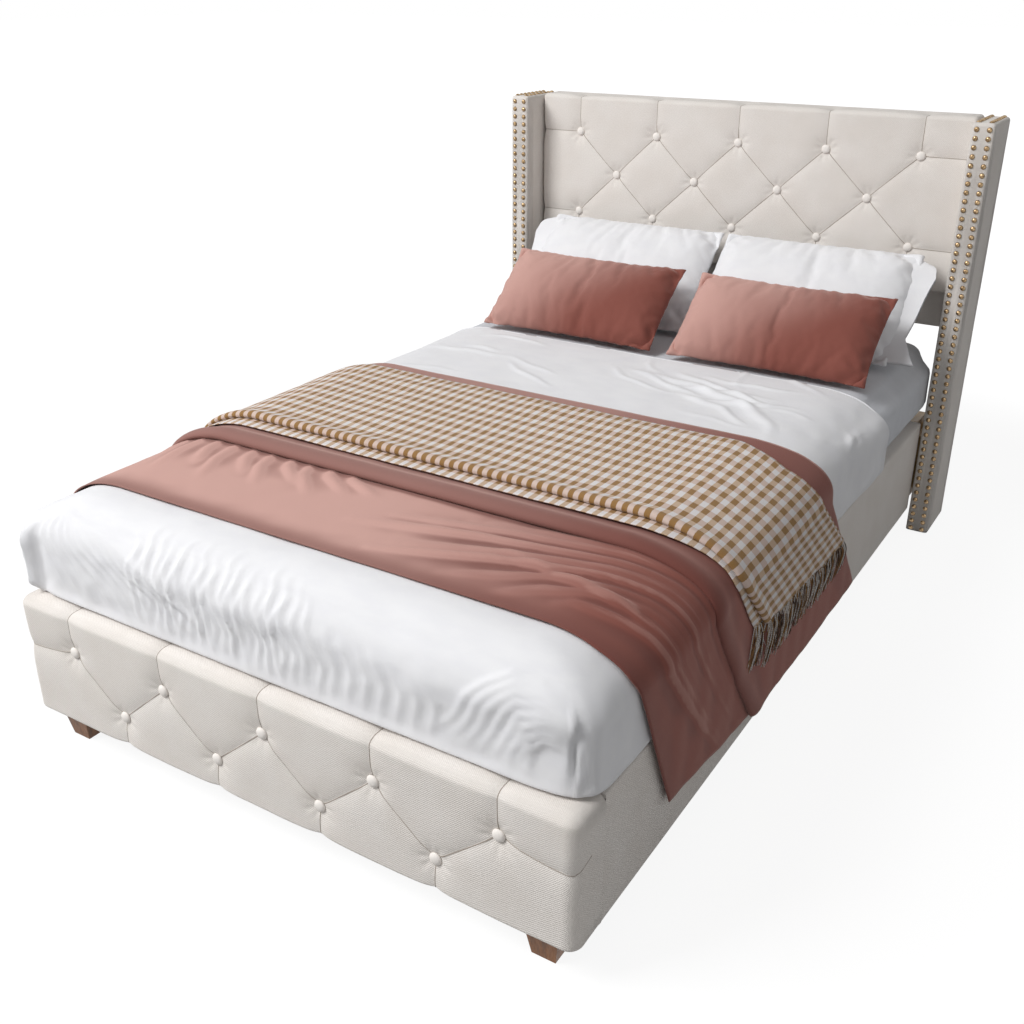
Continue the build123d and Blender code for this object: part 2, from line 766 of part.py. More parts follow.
def duvet():
    """A quilt over the mattress, hanging to the rails at the sides and foot."""
    clear_half = mattress_width / 2 + soft_clearance
    with BuildPart() as quilt:
        slab((-duvet_half_width, duvet_half_width), (duvet_foot_y, duvet_head_y),
             (duvet_bottom_z, duvet_top_z))
        upright = quilt.edges().filter_by(Axis.Z).group_by(Axis.Y)[0]
        fillet(upright, duvet_corner_radius)
        top_edges = quilt.faces().sort_by(Axis.Z)[-1].edges()
        head_edge = top_edges.sort_by(Axis.Y)[-1]
        fillet([e for e in top_edges if e != head_edge], duvet_shoulder_radius)
        with BuildPart(mode=Mode.PRIVATE) as inside:
            slab((-clear_half, clear_half),
                 (mattress_foot_y - soft_clearance, duvet_head_y + mattress_corner_radius),
                 (duvet_bottom_z - cut_overrun, mattress_top_z + soft_clearance))
            fillet(inside.edges().filter_by(Axis.Z).group_by(Axis.Y)[0], mattress_corner_radius)
            inner_top = inside.faces().sort_by(Axis.Z)[-1].edges()
            inner_head = inner_top.sort_by(Axis.Y)[-1]
            fillet([e for e in inner_top if e != inner_head], mattress_top_radius)
        add(inside.part, mode=Mode.SUBTRACT)
        slab((-wing_outer_x, wing_outer_x), (foot_y, footboard_back_y + soft_clearance),
             (frame_floor_clearance, footboard_top_z + soft_clearance), mode=Mode.SUBTRACT)
    save(quilt, "duvet")


def arch(offset, bottom_z):
    """The duvet's cross-section grown by an offset, as a sketch facing the foot of the bed."""
    half = duvet_half_width + offset
    top = duvet_top_z + offset
    with BuildSketch(front_plane(0)) as section:
        with Locations((0, (top + bottom_z) / 2)):
            Rectangle(2 * half, top - bottom_z)
        fillet(section.vertices().group_by(Axis.Z)[-1], duvet_shoulder_radius + offset)
    return section.sketch


def from_foot(distance):
    """A place along the bed, measured from the mattress's foot end."""
    return mattress_foot_y + distance


def slanted(start, hem_height, slant_shares):
    """An edge of hanging cloth, from the duvet's top down, as (distance, height) points."""
    drop = duvet_top_z - hem_height
    return [(start + back * drop, duvet_top_z - down * drop) for down, back in slant_shares]


def side_outline(front, front_edge, rear, rear_edge):
    """What is left of a cloth seen from one side: its front edge down, its rear edge up."""
    above = duvet_top_z + bed_length
    points = [(front, above), (front, duvet_top_z), *front_edge]
    points += [*rear_edge[::-1], (rear, duvet_top_z), (rear, above)]
    return [(from_foot(distance), z) for distance, z in points]


def cloth_layer(inner_offset, thickness, left_outline, right_outline):
    """A bent sheet over the duvet, cut on each side to its own outline."""
    halves = []
    for outline, reach in ((left_outline, -wing_outer_x), (right_outline, wing_outer_x)):
        with BuildPart() as half:
            extrude(arch(inner_offset + thickness, 0), amount=bed_length / 2, both=True)
            extrude(arch(inner_offset, -cut_overrun), amount=bed_length / 2 + cut_overrun, both=True,
                    mode=Mode.SUBTRACT)
            with BuildSketch(Plane.YZ) as side_view:
                with BuildLine():
                    Polyline(*outline, close=True)
                make_face()
            extrude(side_view.sketch, amount=reach, mode=Mode.INTERSECT)
        halves.append(half.part)
    with BuildPart() as cloth:
        for part in halves:
            add(part)
    return cloth.part


def two_layer_cloth(name, offset, thicknesses, fronts, rear, hem_heights, slants):
    """A folded cloth, whose upper layer starts further from the foot than its lower one."""
    left_hem, right_hem = hem_heights
    with BuildPart() as cloth:
        for thickness, front, slant in zip(thicknesses, fronts, slants):
            left = side_outline(front, slanted(front, left_hem, straight_fall_shares),
                                rear, slanted(rear, left_hem, straight_fall_shares))
            right = side_outline(front, slanted(front, right_hem, slant),
                                 rear, slanted(rear, right_hem, slants[-1]))
            add(cloth_layer(offset, thickness, left, right))
            offset += thickness
    save(cloth, name)


def bedspread():
    """One cloth laid across the bed, with its head part folded back over it."""
    two_layer_cloth("bedspread", sheet_lift, (bedspread_thickness, bedspread_fold_thickness),
                    (bedspread_front, bedspread_fold_front), bedspread_rear,
                    (bedspread_left_hem_height, bedspread_right_hem_height),
                    (bedspread_front_slant_shares, bedspread_fold_slant_shares,
                     bedspread_rear_slant_shares))


def throw_offset():
    """How far the throw's inner face lies from the duvet."""
    return 2 * sheet_lift + bedspread_thickness + bedspread_fold_thickness


def throw():
    two_layer_cloth("throw", throw_offset(), (throw_thickness, throw_fold_thickness),
                    (throw_front, throw_upper_front), throw_rear,
                    (throw_hem_height, throw_hem_height),
                    (throw_front_slant_shares, throw_upper_slant_shares, throw_rear_slant_shares))


def throw_fringe():
    """Twisted strands hanging from the throw's two ends."""
    middle_x = duvet_half_width + throw_offset() + throw_thickness / 2
    right_ends = [slanted(start, throw_hem_height, shares)[-1][0] for start, shares in
                  ((throw_front, throw_front_slant_shares), (throw_rear, throw_rear_slant_shares))]
    ends = ((-1, throw_front, throw_rear), (1, *right_ends))
    with BuildPart() as strands:
        for side, front, rear in ends:
            first = from_foot(front) + fringe_width
            last = from_foot(rear) - fringe_width
            count = int((last - first) / fringe_pitch)
            for i in range(count + 1):
                y = first + (last - first) * i / count
                fall = Vector(0, fringe_skew * sin(i), -fringe_length)
                with BuildSketch(Plane.XY.offset(throw_hem_height)) as root:
                    with Locations((side * middle_x, y)):
                        Rectangle(fringe_width, fringe_width)
                extrude(root.sketch, amount=fall.length, dir=fall)
    save(strands, "throw_fringe")


def drawn_in_outline(width, length, draw):
    """A four-sided outline whose sides pull in between its corners."""
    half_width, half_length = width / 2, length / 2
    steps = [i / outline_divisions for i in range(outline_divisions)]
    pulls = [draw * 4 * step * (1 - step) for step in steps]
    lower = [(-half_width + width * step, -half_length + pull) for step, pull in zip(steps, pulls)]
    right = [(half_width - pull, -half_length + length * step) for step, pull in zip(steps, pulls)]
    upper = [(half_width - width * step, half_length - pull) for step, pull in zip(steps, pulls)]
    left = [(-half_width + pull, half_length - length * step) for step, pull in zip(steps, pulls)]
    return lower + right + upper + left


def crowned(plane, width, length, thickness, draw):
    """A crowned cushion: full in the middle, thin and drawn in at its seam."""
    half = list(zip([share * thickness / 2 for share in crown_height_shares], crown_outline_shares))
    outline = drawn_in_outline(width, length, draw)
    return stacked([[plane.from_local_coords((x * shrink, y * shrink, height)) for x, y in outline]
                    for height, shrink in [(-h, shrink) for h, shrink in half[:0:-1]] + half])


def seam_height(length, thickness, lean):
    """How high a leaning cushion's lower seam stands, so that its belly just rests."""
    rises = [height * thickness / 2 * cos(radians(lean)) - length / 2 * (1 - shrink) * sin(radians(lean))
             for height, shrink in zip(crown_height_shares, crown_outline_shares)]
    return mattress_top_z + soft_clearance + max(rises)


def leaning_plane(x, foot_distance, base_z, length, lean):
    """A plane that leans back towards the headboard, centred on a pillow's middle."""
    along = Vector(0, cos(radians(lean)), sin(radians(lean)))
    edge = Vector(x, from_foot(foot_distance), base_z)
    return Plane(origin=edge + along * (length / 2), x_dir=(1, 0, 0),
                 z_dir=(0, -sin(radians(lean)), cos(radians(lean))))


def pillow(side, side_name):
    """A pillow in its case, with the case's open hem end on the outer side."""
    x = pillow_pair_shift + side * (pillow_width + pillow_gap) / 2
    base_z = seam_height(pillow_length, pillow_thickness, pillow_lean)
    plane = leaning_plane(x, pillow_foot_distance, base_z, pillow_length, pillow_lean)
    start = side * pillow_width * hem_start_share
    tip = side * (pillow_width / 2 + pillow_hem_width)
    half = pillow_length * hem_start_share
    with BuildPart() as body:
        add(crowned(plane, pillow_width, pillow_length, pillow_thickness, pillow_draw))
        with BuildSketch(plane.offset(-pillow_hem_thickness / 2)) as hem:
            with BuildLine():
                Polyline((start, -half), (tip, -pillow_length * hem_taper_share),
                         ((start + tip) / 2, half), (start, half), close=True)
            make_face()
        extrude(hem.sketch, amount=pillow_hem_thickness)
    save(body, "pillow_" + side_name)


def cushion(side, side_name):
    x = cushion_pair_shift + side * cushion_spacing / 2
    base_z = seam_height(cushion_length, cushion_thickness, cushion_lean)
    plane = leaning_plane(x, cushion_foot_distance, base_z, cushion_length, cushion_lean)
    with BuildPart() as body:
        add(crowned(plane, cushion_width, cushion_length, cushion_thickness, cushion_draw))
    save(body, "cushion_" + side_name)


def main():
    os.makedirs("parts", exist_ok=True)
    headboard()
    footboard()
    for side, side_name in ((-1, "left"), (1, "right")):
        wing(side, side_name)
        rails(side, side_name)
        foot(side, side_name)
        pillow(side, side_name)
        cushion(side, side_name)
    wing_glides()
    rail_fittings()
    bolts("foot_bolts", foot_bolt_places(), headed=False)
    slatted_base()
    centre_beam()
    mattress()
    duvet()
    bedspread()
    throw()
    throw_fringe()


main()
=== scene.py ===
from math import ceil, cos, hypot, pi, radians, sin

import bmesh
import bpy
import numpy as np
from mathutils import Euler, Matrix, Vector


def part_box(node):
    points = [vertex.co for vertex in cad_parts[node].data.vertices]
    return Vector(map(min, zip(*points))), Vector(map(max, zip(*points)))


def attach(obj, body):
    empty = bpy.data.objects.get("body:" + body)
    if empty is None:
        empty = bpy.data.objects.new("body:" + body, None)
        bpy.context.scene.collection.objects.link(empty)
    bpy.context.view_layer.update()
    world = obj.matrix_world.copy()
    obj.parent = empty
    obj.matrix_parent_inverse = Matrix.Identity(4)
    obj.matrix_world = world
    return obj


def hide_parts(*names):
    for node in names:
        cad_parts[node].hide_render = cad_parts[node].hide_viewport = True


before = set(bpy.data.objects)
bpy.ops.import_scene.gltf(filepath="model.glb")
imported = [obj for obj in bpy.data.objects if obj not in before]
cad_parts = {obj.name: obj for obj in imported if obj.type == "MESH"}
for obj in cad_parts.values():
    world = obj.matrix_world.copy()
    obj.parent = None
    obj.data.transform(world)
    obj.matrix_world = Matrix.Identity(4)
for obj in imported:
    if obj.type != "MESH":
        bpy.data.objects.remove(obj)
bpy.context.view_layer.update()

# Wingback bed made up with its bedding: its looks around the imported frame.
# Metres. X runs across the bed, Y from the foot to the head, Z up.

CLOTH_UV = "cloth"
# Point attribute that carries a cloth's painted light and shade: painted highlight on crests, painted shade
# in hollows
PAINTED_LIGHT_AND_SHADE = "painted_light_and_shade"
SIDES = ((-1, "left"), (1, "right"))
WHITE = (255, 255, 255)

# Buttons and nails. Their profiles are places (radius, height).
BUTTON_PROFILE = ((0.0, 0.0066), (0.0045, 0.0063), (0.0085, 0.0052), (0.0112, 0.0033), (0.0125, 0.0008),
                  (0.0118, 0.0))
NAIL_PROFILE = ((0.0, 0.0046), (0.0026, 0.0042), (0.0047, 0.0032), (0.0061, 0.0016), (0.0068, 0.0))
NAIL_PITCH, NAIL_FIRST_DROP, NAIL_COLUMN_SPACING, NAIL_SEAT = 0.02204, 0.0164, 0.031, 0.0004
NAILS_FRONT, NAILS_TOP = 51, 8

# Tufting, and the cloth's gathers round each button: (height, distance, width)
GATHERS = (0.0009, 0.026, 0.011)
SEAM_DEPTH, SEAM_REACH, SEAM_SHADE_THREAD = 0.0062, 0.019, 0.0011
DIMPLE_DEPTH, DIMPLE_REACH, BUTTON_SEAT = 0.0125, 0.031, 0.0113

# Padded blocks. Each of a block's own axes is an axis of the frame and a sign.
UPRIGHT = ((0, 1), (1, 1), (2, 1))
FACING_FOOT = ((0, 1), (2, 1), (1, -1))
EDGE_TURN = 0.040
POCKET_GAP = 0.0005

# Duvet and mattress
SHOULDER_WIDTH, SHOULDER_DROP = 0.170, 0.090
FRONT_ROUND = 0.110
MATTRESS_ROUND, MATTRESS_TOP_ROUND = 0.060, 0.030

# Cloths over the bed. An edge is its distance from the foot, and how far back it has run at each
# height of the right side. Hems are the left one's height, and the right one's at distances from
# the foot.
SLANT_TOP = (0.5483, 0.0)
SPREAD_FRONT = (0.068, ((0.10, 0.178), (0.161, 0.150), (0.335, 0.069), (0.414, 0.034), (0.490, 0.001),
                        (0.530, -0.004), SLANT_TOP))
SPREAD_FOLD = (0.361, ((0.10, 0.268), (0.263, 0.141), (0.392, 0.053), (0.450, 0.018), (0.510, 0.010),
                       SLANT_TOP))
SPREAD_REAR = (0.963, ((0.10, 0.325), (0.133, 0.299), (0.365, 0.106), (0.429, 0.051), (0.505, 0.030),
                       (0.530, 0.018), SLANT_TOP))
SPREAD_HEMS = (0.110, ((0.068, 0.166), (0.193, 0.150), (0.417, 0.116), (0.659, 0.106), (0.963, 0.118)))
THROW_FRONT = (0.410, ((0.268, 0.203), (0.403, 0.094), (0.480, 0.034), (0.502, 0.032), (0.524, 0.023),
                       (0.537, 0.012), SLANT_TOP))
THROW_FOLD = (0.452, ((0.268, 0.212), (0.353, 0.138), (0.407, 0.089), (0.465, 0.030), (0.485, 0.016),
                      (0.505, 0.010), SLANT_TOP))
THROW_REAR = (0.888, ((0.268, 0.260), (0.346, 0.166), (0.450, 0.040), (0.495, -0.003), (0.512, -0.013),
                      (0.530, -0.026), (0.546, -0.010), SLANT_TOP))
THROW_HEMS = (0.300, ((0.410, 0.351), (0.525, 0.323), (0.644, 0.317), (0.745, 0.304), (0.888, 0.294)))
CHECK_WIDTH, CHECK_LENGTH = 0.0226, 0.0452

# Pillows and cushions: (width, length, thickness), and how far the pillow's case runs on beyond it
# at shares of its length
PILLOW_SIZE, PILLOW_LEAN = (0.568, 0.360, 0.128), radians(42.2)
PILLOW_HEM = ((0.0, 0.064), (0.07, 0.048), (0.25, 0.018), (0.60, 0.032), (0.82, 0.044), (0.94, 0.036),
              (0.985, 0.022), (1.0, 0.008))
CUSHION_SIZE, CUSHION_LEAN = (0.543, 0.285, 0.116), radians(39.7)
BLOWN_FRAMES = 28
BLOWN_CLOTH = {"quality": 6, "mass": 0.15, "tension_stiffness": 12, "compression_stiffness": 12,
               "shear_stiffness": 4, "bending_stiffness": 0.05, "air_damping": 6, "shrink_min": -0.035,
               "use_pressure": True}

# Materials of the frame's own nodes
STEEL_WORDS = ("bolts", "plates", "brackets", "hangers")
WOOD_EDGE, OTHER_EDGE = 0.0015, 0.0004

# Lights (name, place, size, power) and camera
LIGHTS = (("key_light", (-3.3, -4.2, 5.5), 3.0, 480), ("fill_light", (3.6, -2.6, 2.4), 2.6, 8))
LIGHTS_AIM = (0.0, 0.0, 0.4)
CAMERA_PLACE, CAMERA_DIP, CAMERA_TURN = (1.2571, -2.2378, 1.4560), 0.4391, 0.5601
CAMERA_LENS, CAMERA_SENSOR = 39.9, 36.0
ROOM_LIGHT, FLOOR_GLOW, FLOOR_REACH = 0.30, 1.07, 40.0


# Meshes


def quads(numbers):
    """The four corners of each cell in a grid of numbered points."""
    corners = numbers[:-1, :-1], numbers[:-1, 1:], numbers[1:, 1:], numbers[1:, :-1]
    return np.stack(corners, axis=-1).reshape(-1, 4)


def joined(grids, closed=False):
    """Points, faces and flat places of one mesh out of grids of (points, flat places)."""
    points, faces, flats = [], [], []
    count = 0
    for grid, flat in grids:
        rows, columns = grid.shape[:2]
        numbers = count + np.arange(rows * columns).reshape(rows, columns)
        faces.append(quads(np.hstack([numbers, numbers[:, :1]]) if closed else numbers))
        points.append(grid.reshape(-1, 3))
        flats.append(flat.reshape(-1, 2))
        count += rows * columns
    return np.concatenate(points), np.concatenate(faces), np.concatenate(flats)


def piece(name, points, faces, flats=None, weld=None):
    """A smooth mesh object from points, faces and, per point, flat cloth coordinates."""
    mesh = bpy.data.meshes.new(name)
    mesh.from_pydata(np.asarray(points).tolist(), [], [list(map(int, face)) for face in faces])
    if flats is not None:
        corner_points = np.empty(len(mesh.loops), dtype=np.int32)
        mesh.loops.foreach_get("vertex_index", corner_points)
        layer = mesh.uv_layers.new(name=CLOTH_UV)
        layer.uv.foreach_set("vector", np.asarray(flats, dtype=np.float32)[corner_points].ravel())
    if weld:
        work = bmesh.new()
        work.from_mesh(mesh)
        bmesh.ops.remove_doubles(work, verts=work.verts, dist=weld)
        bmesh.ops.recalc_face_normals(work, faces=work.faces)
        work.to_mesh(mesh)
        work.free()
    mesh.shade_smooth()
    item = bpy.data.objects.new(name, mesh)
    bpy.context.scene.collection.objects.link(item)
    return item


def dress(item, material, body, replaced=()):
    """Give a piece its material, its body and the frame's nodes that it stands for."""
    item.data.materials.clear()
    item.data.materials.append(material)
    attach(item, body)
    if replaced:
        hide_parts(*replaced)
    return item


def smooth(value, low, high):
    """A smooth rise from 0 at low to 1 at high."""
    share = np.clip((value - low) / (high - low), 0.0, 1.0)
    return share * share * (3 - 2 * share)


def ripple(u, v, size, seed):
    """Smooth uneven height between about -1 and 1, the same for the same seed."""
    random = np.random.default_rng(seed)
    total = np.zeros_like(u)
    for octave in range(3):
        wave = 2 * pi / (size / 1.9 ** octave)
        for _ in range(4):
            turn = random.uniform(0, 2 * pi)
            shift = random.uniform(0, 2 * pi, 2)
            along = u * cos(turn) + v * sin(turn)
            across = v * cos(turn) - u * sin(turn)
            bend = 0.9 * np.sin(across * wave * 0.6 + shift[1])
            total += np.sin(along * wave * random.uniform(0.7, 1.2) + shift[0] + bend) / 1.9 ** octave
    return total / 7.0


def edge_lines(low, high, radii, step):
    """Grid lines from low to high, closer together where the edges are rounded."""
    def rounded(radius):
        count = max(5, ceil(radius * pi / 4 / step))
        return radius * (1 - np.tan(np.linspace(pi / 4, 0, count, endpoint=False)))

    start = low + rounded(radii[0]) if radii[0] else []
    end = high - rounded(radii[1])[::-1] if radii[1] else []
    inner_low, inner_high = low + radii[0], high - radii[1]
    middle = np.linspace(inner_low, inner_high, max(2, ceil((inner_high - inner_low) / step) + 1))
    return np.concatenate([start, middle, end])


def doubled(lines, limits):
    """The grid lines with the pocket's two limits doubled, and which of them lie inside it."""
    lines = np.sort(np.concatenate([lines, limits]))
    inside = np.zeros(len(lines), dtype=bool)
    inside[np.searchsorted(lines, limits[0]) + 1:np.searchsorted(lines, limits[1]) + 1] = True
    return lines, inside


def shared(top, bottom):
    """A division that gives 0 where nothing can be divided by."""
    return np.divide(top, bottom, out=np.zeros_like(top), where=bottom > 0)


class Padding:
    """A padded block with rounded edges, in its own axes a, b and c, where c points out of its front.

    A pocket ((a limits), (b limits), floor) is left in its back for what it covers. Its floor is one
    height, or gives the height at flat places. depth(u, v, behind) says how far a point is drawn in,
    with u and v running on over the edges. A higher corner power gives squarer corners between a
    and b."""

    def __init__(self, low, high, radii, pocket=None, depth=None, corner_power=2.0, axes=UPRIGHT):
        self.low, self.high, self.radii = np.array(low), np.array(high), np.array(radii)
        self.pocket, self.depth, self.corner_power, self.axes = pocket, depth, corner_power, axes

    def place(self, points):
        """Points or ways in the block's own axes, as x, y and z."""
        placed = np.empty_like(points)
        for own, (axis, sign) in enumerate(self.axes):
            placed[:, axis] = sign * points[:, own]
        return placed

    def pattern(self, flat):
        """Flat places (u, v) of points, and how far they lie behind the front."""
        behind = self.high[2] - flat[:, 2]
        u, v = (flat[:, k] + behind * (smooth(flat[:, k], self.high[k] - EDGE_TURN, self.high[k])
                                       - smooth(-flat[:, k], -self.low[k] - EDGE_TURN, -self.low[k]))
                for k in (0, 1))
        return u, v, behind

    def shaped(self, flat, backed=False):
        """Points of the unrounded block brought onto the padding, and the ways they face."""
        inner = np.clip(flat, self.low + self.radii[:, 0], self.high - self.radii[:, 1])
        offset = flat - inner
        radius = np.where(offset < 0, self.radii[:, 0], self.radii[:, 1])
        direction = shared(offset, radius)
        plan = (np.abs(direction[:, :2]) ** self.corner_power).sum(axis=1) ** (1 / self.corner_power)
        direction = shared(direction, np.hypot(plan, direction[:, 2])[:, None])
        facing = shared(direction, radius)
        facing = shared(facing, np.linalg.norm(facing, axis=1, keepdims=True))
        points = inner + radius * direction
        if self.depth and not backed:
            u, v, behind = self.pattern(flat)
            thickness = self.high[2] - self.low[2]
            drawn = self.depth(u, v, behind) * (1 - smooth(behind, 0.85 * thickness, thickness))
            points = points - facing * drawn[:, None]
        return points, facing

    def laid(self, places):
        """Points on the padding, and the ways they face, at flat places (u, v)."""
        places = np.array(places)
        inner = np.clip(places, self.low[:2], self.high[:2])
        behind = np.abs(places - inner).max(axis=1)
        points, facing = self.shaped(np.column_stack([inner, self.high[2] - behind]))
        return self.place(points), self.place(facing)

    def side(self, lines, axis, end):
        """One side of the block, as a grid of points with their flat places."""
        across, along = [k for k in range(3) if k != axis]
        rows, columns = lines[across], lines[along]
        backed = bool(self.pocket) and axis == 2 and end is self.low
        if backed:
            rows, in_rows = doubled(rows, self.pocket[0])
            columns, in_columns = doubled(columns, self.pocket[1])
        grid = np.zeros((len(rows), len(columns), 3))
        grid[..., across], grid[..., along], grid[..., axis] = rows[:, None], columns, end[axis]
        flat = grid.reshape(-1, 3)
        points = self.shaped(flat, backed)[0]
        if backed:
            held = (in_rows[:, None] & in_columns).ravel()
            floor = self.pocket[2]
            points[held, 2] = floor(flat[held]) if callable(floor) else floor
        return self.place(points).reshape(grid.shape), np.stack(self.pattern(flat)[:2], axis=1)

    def dressed(self, name, steps, node, material, body="frame"):
        """The padding as a piece that stands for a node of the frame."""
        lines = [edge_lines(*limits) for limits in zip(self.low, self.high, self.radii, steps)]
        if self.pocket:
            lines[:2] = [np.union1d(lines[k], self.pocket[k]) for k in (0, 1)]
        grids = [self.side(lines, axis, end) for axis in range(3) for end in (self.low, self.high)]
        item = dress(piece(name, *joined(grids), weld=1e-5), material, body, [node])


def upholstered(name, node, core, axes, radii, steps, depth, material):
    """Padding in place of a node of the frame, with a pocket for the board or core inside it."""
    (low, high), (core_low, core_high) = (
        np.sort([[sign * corner[axis] for axis, sign in axes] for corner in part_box(box)], axis=0)
        for box in (node, core))
    held = zip(np.maximum(low + POCKET_GAP, core_low)[:2], np.minimum(high - POCKET_GAP, core_high)[:2])
    padding = Padding(low, high, radii, (*held, core_high[2]), depth, axes=axes)
    padding.dressed(name, steps, node, material)
    return padding


def threaded(name, runs, radius):
    """Thin six-sided threads along runs of (points, ways they face)."""
    angles = np.arange(6) * pi / 3
    grids = []
    for places, facing in runs:
        across = np.cross(np.gradient(places, axis=0), facing)
        across /= np.linalg.norm(across, axis=1, keepdims=True)
        rings = places[:, None] + radius * (facing[:, None] * np.cos(angles)[:, None]
                                            + across[:, None] * np.sin(angles)[:, None])
        lengths = np.cumsum(np.linalg.norm(np.diff(places, axis=0, prepend=places[:1]), axis=1))
        grids.append((rings, np.stack(np.broadcast_arrays(lengths[:, None], angles * radius), axis=-1)))
    return piece(name, *joined(grids, closed=True))


def lathed(name, profile, places, sides):
    """Round pieces turned from one profile of (radius, height), at places (point, axis, side axis)."""
    angles = np.arange(sides) * 2 * pi / sides
    points, faces = [], []
    for origin, axis, side in np.array(places, dtype=float):
        other = np.cross(axis, side)
        first = len(points)
        points.append(origin + axis * profile[0][1])
        points += [origin + axis * height + radius * (side * cos(angle) + other * sin(angle))
                   for radius, height in profile[1:] for angle in angles]
        rings = first + 1 + np.arange((len(profile) - 1) * sides).reshape(-1, sides)
        beside = np.roll(rings, -1, axis=1)
        faces += [(first, *pair) for pair in zip(rings[0], beside[0])]
        faces += [*np.stack([rings[:-1], rings[1:], beside[1:], beside[:-1]], axis=-1).reshape(-1, 4)]
        faces.append(rings[-1, ::-1])
    return piece(name, points, faces)


# Button tufting


def tuft_points(rows, spacing, top_z, row_step):
    """Button places (x, z), row by row."""
    return [[((i - (count - 1) / 2) * spacing, top_z - row * row_step) for i in range(count)]
            for row, count in enumerate(rows)]


def tuft_seams(points, spacing, low, high, wrap, sag):
    """Lines of seams between the buttons, over the top, under the bottom and round the sides."""
    seams = []
    for upper, lower in zip(points, points[1:]):
        for place in lower:
            seams += [[near, place] for near in upper if abs(near[0] - place[0]) < spacing]
    for row, edge_z, way in ((points[0], high.z, 1), (points[-1], low.z, -1)):
        seams += [[(x, z), (x, edge_z), (x, edge_z + way * wrap)] for x, z in row]
    widest = max(len(row) for row in points)
    for row in points:
        if len(row) == widest:
            for (x, z), side in ((row[0], -1), (row[-1], 1)):
                reach = abs(side * high.x - x)
                line = [(x + side * reach * share, z - sag * sin(share * pi / 2))
                        for share in np.linspace(0, 1, 7)]
                seams.append(line + [(side * (high.x + wrap), z - sag / 3)])
    return seams


def nearest_on(u, v, start, end):
    """How far points lie from a straight line, and how far along it their nearest place is."""
    run_u, run_v = end[0] - start[0], end[1] - start[1]
    share = np.clip(((u - start[0]) * run_u + (v - start[1]) * run_v) / (run_u ** 2 + run_v ** 2), 0, 1)
    return np.hypot(u - start[0] - share * run_u, v - start[1] - share * run_v), share


def tufting(points, seams):
    """How far the padding is drawn in by its buttons and seams."""
    height, distance, width = GATHERS

    def depth(u, v, behind):
        pulls = np.zeros_like(u)
        for line in seams:
            away = np.min([nearest_on(u, v, *ends)[0] for ends in zip(line, line[1:])], axis=0)
            pulls += np.exp(-2 * np.sqrt(away ** 2 + 0.0012 ** 2) / SEAM_REACH)
        valley = SEAM_DEPTH * np.sqrt(np.minimum(pulls, 1.6))
        dimple = np.zeros_like(u)
        for x, z in sum(points, []):
            away = np.hypot(u - x, v - z)
            turn = np.arctan2(v - z, u - x)
            gathers = height * np.cos(9 * turn + x * 40) * np.exp(-((away - distance) / width) ** 2)
            dimple = np.maximum(dimple, DIMPLE_DEPTH * np.exp(-(away / DIMPLE_REACH) ** 1.6) + gathers)
        soft = 0.0008 * (1 + ripple(u, v, 0.16, 5))
        return (valley ** 3 + np.maximum(dimple, 0) ** 3) ** (1 / 3) + soft

    return depth


def seam_shade_threads(name, padding, seams, seam_shade):
    """Thin threads in the seams, partly the seam's thread and partly painted shade: they draw the shade of
    the seams' creases as dark lines.
    """
    runs = []
    for line in seams:
        places = [line[0]]
        for start, end in zip(line, line[1:]):
            count = max(1, ceil(hypot(end[0] - start[0], end[1] - start[1]) / 0.004))
            places += np.linspace(start, end, count + 1)[1:].tolist()
        points, facing = padding.laid(places)
        runs.append((points - facing * SEAM_SHADE_THREAD * 0.35, facing))
    dress(threaded(name, runs, SEAM_SHADE_THREAD), seam_shade, "frame")


def tufted_board(board, linen, seam_shade, rows, spacing, drop, row_step, wrap, sag, radii, steps):
    """The tufted padding of the headboard or footboard, with its buttons and seams."""
    low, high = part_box(board + "_pad")
    points = tuft_points(rows, spacing, high.z - drop, row_step)
    seams = tuft_seams(points, spacing, low, high, wrap, sag)
    padding = upholstered(board + "_padding", board + "_pad", board + "_board", FACING_FOOT, radii, steps,
                          tufting(points, seams), linen)
    places = [((x, low.y + BUTTON_SEAT, z), (0, -1, 0), (1, 0, 0)) for x, z in sum(points, [])]
    caps = lathed(board + "_button_caps", BUTTON_PROFILE, places, sides=20)
    dress(caps, linen, "frame", [board + "_buttons"])
    seam_shade_threads(board + "_seams", padding, seams, seam_shade)


def headboard(linen, seam_shade):
    tufted_board("headboard", linen, seam_shade, rows=(5, 4, 5), spacing=0.2575, drop=0.107, row_step=0.1205,
                 wrap=0.045, sag=0.0, radii=((0.012, 0.012), (0.010, 0.014), (0.003, 0.014)),
                 steps=(0.0033, 0.0033, 0.006))


def footboard(linen, seam_shade):
    tufted_board("footboard", linen, seam_shade, rows=(5, 4), spacing=0.250, drop=0.093, row_step=0.107,
                 wrap=0.055, sag=0.018, radii=((0.028, 0.028), (0.016, 0.020), (0.003, 0.028)),
                 steps=(0.0033, 0.0033, 0.005))


def soft_dent(depth, size, seed):
    """A slight unevenness of stretched padding."""
    return lambda u, v, behind: depth * (0.6 + 0.4 * ripple(u, v, size, seed))


